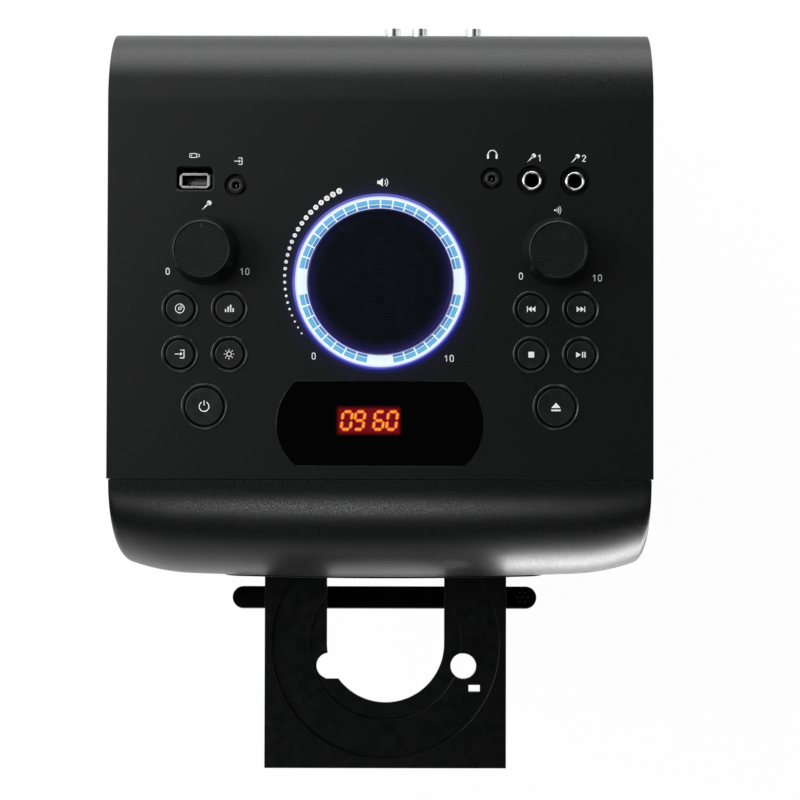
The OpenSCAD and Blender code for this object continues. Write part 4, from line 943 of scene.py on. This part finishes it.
def painted_block_glow(material, centre, half, reach, colour):
    """A painted haze of light in a finish round a rectangle of lamps, fading out over its reach."""
    tree = material.node_tree
    past = []
    for axis, middle, span in zip("XY", centre, half):
        off = reckon(tree, "ABSOLUTE", reckon(tree, "SUBTRACT", part_of(tree, axis), middle * MM))
        over = reckon(tree, "MAXIMUM", reckon(tree, "SUBTRACT", off, span * MM), 0.0)
        past.append(reckon(tree, "POWER", over, 2))
    away = reckon(tree, "SQRT", reckon(tree, "ADD", *past))
    fade = add_node(tree, "ShaderNodeMapRange", {
        "Value": away, "From Max": reach * MM, "To Min": 1.0, "To Max": 0.0})
    painted_haze = mix(tree, reckon(tree, "POWER", fade, 2), (0, 0, 0, 1), (*colour, 1))
    feed(tree, tree.nodes["Principled BSDF"], {"Emission Color": painted_haze, "Emission Strength": 1.0})


# Painted light: the digits' red glow on the window is emission in the window's finish.
painted_block_glow(window_gloss, (-5.5, -8.0), (14.4, 5.6), 2.2, (0.17, 0.004, 0.008))


SEGMENTS = {"0": "abcdef", "6": "acdefg", "9": "abcdfg"}
DIGIT_W = 4.5
DIGIT_H = 8.6
SLANT = 0.13


def lit_segment(which, x, y, t):
    """One bar of a seven-segment digit, 2 t wide, pointed at both ends and leaning with the digit."""
    w, h = DIGIT_W / 2, DIGIT_H / 2
    spots = {"a": ((-w, h), (w, h)), "d": ((-w, -h), (w, -h)), "g": ((-w, 0), (w, 0)), "f": ((-w, 0), (-w, h)),
             "b": ((w, 0), (w, h)), "e": ((-w, -h), (-w, 0)), "c": ((w, -h), (w, 0))}
    (x0, y0), (x1, y1) = spots[which]
    length = math.hypot(x1 - x0, y1 - y0)
    dx, dy = (x1 - x0) / length, (y1 - y0) / length
    outline = []
    far, near = length - 0.35, length - 0.95
    for along, across in ((0.35, 0), (0.95, -t), (near, -t), (far, 0), (near, t), (0.95, t)):
        px = x0 + dx * along - dy * across
        py = y0 + dy * along + dx * across
        outline.append((x + px + py * SLANT, y + py))
    return outline


for name, t, lift, colour in (
    ("display_bloom", 1.0, 0.02, (0.6, 0.02, 0.004)), ("display_digits", 0.66, 0.04, (1.0, 0.17, 0.008)),
    ("display_cores", 0.34, 0.06, (1.0, 0.45, 0.03)),
):
    lamp = surface(name + "_light", (0.02, 0.01, 0.01), 0.4, grain=0.3, depth=0.0)
    feed(lamp.node_tree, lamp.node_tree.nodes["Principled BSDF"], {
        "Emission Color": (*colour, 1), "Emission Strength": 1.0})
    shapes = [lit_segment(bar, x, DIGIT_Y, t) for digit, x in zip(DIGITS, DIGIT_XS) for bar in SEGMENTS[digit]]
    piece(name, print_on(shapes, lambda x, y: WINDOW_TOP, lift), lamp, "cabinet", "window_black")

# Data socket. A folded, nickel-plated steel shell with cut corners, in a rounded well of the panel's
# moulding whose lip is chamfered. It has a grey tongue, and a thin black sheet inside the shell is painted shade in its
# mouth.
def rounded_box(x0, y0, x1, y1, r, steps=6):
    """Points of a rectangle with rounded corners, anticlockwise."""
    points = []
    for cx, cy, start in ((x1 - r, y1 - r, 0), (x0 + r, y1 - r, 90), (x0 + r, y0 + r, 180), (x1 - r, y0 + r, 270)):
        points += circle(cx, cy, r, steps + 1, start, start + 90)
    return points


def sleeve(x0, y0, x1, y1, corners, name):
    """A closed tube that follows a rectangle; corners of its wall are (inset, corner radius, height)."""
    return loft([(rounded_box(x0 + inset, y0 + inset, x1 - inset, y1 - inset, r), z)
                 for inset, r, z in corners], name)


SHELL_X, SHELL_Y, SHELL_HALF_W, SHELL_HALF_T, SHELL_CUT = -91.3, 109.6, 7.4, 3.75, 1.5
SHELL_LOW, MOUTH_LOW, MOUTH_HIGH = 330, 326.3, 338.2
TONGUE = (-96.6, 107.2, -86.0, 108.0)
TONGUE_LOW, TONGUE_HIGH = 326.2, 335.0
well = sleeve(-101.0, 104.2, -81.6, 117.0, (
    (-0.1, 0.05, 337.2), (-0.1, 0.05, 339.95), (0.15, 2.6, 339.95), (0.75, 2.2, 339.3), (0.75, 2.2, 337.2)), "well_lip")
piece("well_lip", well, cover_plastic, "cabinet", "cover_black")
nickel = surface("nickel", (0.82, 0.82, 0.83), 0.3, metallic=1.0, grain=0.4, depth=0.001, mottle=0.04)
data_socket = from_node("usb_socket", "data_socket", nickel, "cabinet", 0.2, 3)
data_socket.modifiers.clear()
corners = []
for sx, sy in ((-1, -1), (1, -1), (1, 1), (-1, 1)):
    x, y = SHELL_X + sx * (SHELL_HALF_W + 0.1), SHELL_Y + sy * (SHELL_HALF_T + 0.1)
    cut = SHELL_CUT + 0.2
    corners.append(slab([(x, y), (x - sx * cut, y), (x, y - sy * cut)], SHELL_LOW, PANEL_Z))
combine(data_socket, joined(corners, "corners"))
soften(data_socket, 0.2, 3)
tongue_grey = surface("tongue_grey", (0.012, 0.012, 0.013), 0.5, grain=0.3, depth=0.004, specular=0.2)
tongue = piece("data_tongue", slab(box(*TONGUE), TONGUE_LOW, TONGUE_HIGH), tongue_grey, "cabinet", "usb_steel")
soften(tongue, 0.25)
# Painted shade: a thin black sheet just inside the shell's walls stands for the shade in the socket's mouth.
lining = sleeve(-97.56, 107.04, -85.04, 112.16, (
    (0, 0.1, MOUTH_LOW), (0, 0.1, MOUTH_HIGH), (0.16, 0.1, MOUTH_HIGH), (0.16, 0.1, MOUTH_LOW)), "lining")
shade_black = surface("shade_black", (0.002, 0.002, 0.002), 0.6, grain=0.3, depth=0.004, specular=0.1)
piece("data_shade_sheet", lining, shade_black, "cabinet", "usb_steel")

# Jack sockets. Black moulded bodies under the panel; the line and phone jacks end in plain black
# nozzles, the two microphone jacks in plated ferrules.
jack_plastic = surface("jack_plastic", (0.003, 0.003, 0.0034), 0.35, grain=0.4, depth=0.006)
nozzle_plastic = surface("nozzle_plastic", (0.022, 0.022, 0.023), 0.3, grain=0.4, depth=0.006)
for node_name, name in (("line_in_socket", "line_jack"), ("headphone_socket", "phone_jack"),
                        ("mic_socket_1", "mic_jack_1"), ("mic_socket_2", "mic_jack_2")):
    from_node(node_name, name, jack_plastic, "cabinet", 0.2)
FERRULE = ((3.22, -3.5), (4.75, -3.5), (4.95, -1.3), (4.75, -0.7), (4.3, -0.25), (4.0, -0.2), (3.7, -0.4),
           (3.3, -1.0), (3.22, -1.8))
for name, x, y in (("mic_ferrule_1", 74.3, 110.0), ("mic_ferrule_2", 95.4, 109.6)):
    ferrule = stood(turned(FERRULE, 64), x, y, PANEL_Z)
    piece(name, ferrule, nickel, "cabinet", "mic_jack_black").data.shade_smooth()
NOZZLE = ((1.85, -0.8), (1.85, -0.55), (2.1, -0.4), (2.75, -0.4), (3.1, -0.55), (3.1, -0.8))
LEAF_HALF_T, LEAF_HALF_W, LEAF_LOW, LEAF_HIGH = 0.2, 0.75, 334.5, 337.6
for name, x, y in (("line", -71.1, 107.3), ("phone", 54.6, 110.8)):
    nozzle = stood(turned(NOZZLE, 48), x, y, PANEL_Z)
    piece(name + "_nozzle", nozzle, nozzle_plastic, "cabinet", "jack_black").data.shade_smooth()
    leaf = slab(box(x - LEAF_HALF_T, y - LEAF_HALF_W, x + LEAF_HALF_T, y + LEAF_HALF_W), LEAF_LOW, LEAF_HIGH)
    piece(name + "_contact", leaf, nickel, "cabinet", "jack_black")

# Phono sockets. Three nickel barrels on one black block, each with a coloured insert round its contact.
from_node("phono_sockets", "phono_barrels", nickel, "cabinet", 0.2)
INSERT = ((1.75, 0), (3.2, 0), (3.2, 0.5), (3.0, 0.7), (1.9, 0.7), (1.75, 0.5))
PHONO_Y, PHONO_Z = 195, 266
for name, x, colour in (("white", 4.5, (0.75, 0.75, 0.72)), ("red", 18.6, (0.5, 0.02, 0.02)),
                        ("yellow", 46.8, (0.75, 0.55, 0.03))):
    insert = stood(turned(INSERT, 40), x, PHONO_Y, PHONO_Z, -90)
    finish = surface("insert_" + name, colour, 0.4, grain=0.3, depth=0.004)
    piece("phono_insert_" + name, insert, finish, "cabinet", "phono_nickel").data.shade_smooth()

# Mains inlet. A black two-pin inlet pushed through the back from outside, held by its flange.
inlet_plastic = surface("inlet_plastic", (0.012, 0.012, 0.012), 0.5, grain=0.4, depth=0.01)
from_node("mains_inlet", "mains_inlet_body", inlet_plastic, "cabinet", 0.4)

# Loudspeaker. A pressed steel basket and ferrite magnet behind the baffle, with a black paper cone.
def repaint(material, *names):
    """CAD nodes whose shapes are right as they are keep them and get a better finish."""
    for name in names:
        for slot in nodes[name].material_slots:
            slot.material = material


repaint(surface("basket_paint", (0.035, 0.036, 0.04), 0.4, depth=0.006), "woofer_basket")
repaint(surface("ferrite", (0.03, 0.03, 0.031), 0.6, grain=0.3, depth=0.02), "woofer_magnet")
repaint(surface("cone_paper", (0.013, 0.013, 0.014), 0.75, depth=0.03), "woofer_cone")

# Boards. Two with a green solder mask, a white one under the light ring, a brown phenolic one for the
# mains and the display's black module. They keep their CAD shapes.
repaint(surface("solder_mask", (0.012, 0.085, 0.035), 0.3, grain=0.6, depth=0.006, specular=0.6),
        "control_board", "main_board")
repaint(surface("white_board", (0.75, 0.75, 0.72), 0.35, grain=0.6, depth=0.004), "led_ring_board")
repaint(surface("phenolic", (0.3, 0.16, 0.06), 0.4, grain=0.6, depth=0.008, stretch=(1, 6, 1)), "power_board")
repaint(surface("module_plastic", (0.04, 0.04, 0.042), 0.5, grain=0.4, depth=0.008), "display_module")

# Controls, loader deck and playing mechanism. Plated steel, dark mouldings, acetal gears and rubber; all
# keep their CAD shapes, which are seen only through the slot and the holes.
repaint(surface("plated_steel", (0.56, 0.57, 0.58), 0.3, metallic=1.0, grain=0.3, depth=0.004, stretch=(1, 5, 1)),
        "tact_switches", "master_encoder", "knob_pots", "loading_motor", "clamp_bridge", "screws",
        "spindle_motor", "sled_rods", "sled_motor", "lead_screw")
repaint(surface("deck_plastic", (0.022, 0.023, 0.025), 0.5, depth=0.012), "loader_chassis")
repaint(surface("shelf_plastic", (0.02, 0.021, 0.023), 0.55, grain=0.6, depth=0.02), "deck_shelf")
repaint(surface("belt_rubber", (0.01, 0.01, 0.01), 0.8, grain=0.3, specular=0.3), "loader_belt")
repaint(surface("acetal", (0.74, 0.71, 0.62), 0.42, grain=0.4, depth=0.006),
        "tray_gear", "loader_pulley", "motor_pulley")
repaint(surface("puck_plastic", (0.02, 0.02, 0.022), 0.5, grain=0.4), "clamp_puck")
repaint(surface("mat_rubber", (0.014, 0.014, 0.014), 0.75, grain=0.3, depth=0.015, specular=0.3), "turntable")
repaint(surface("traverse_paint", (0.16, 0.16, 0.17), 0.4, grain=0.4), "traverse_base")
repaint(surface("sled_plastic", (0.02, 0.02, 0.022), 0.45, grain=0.4), "pickup_sled")
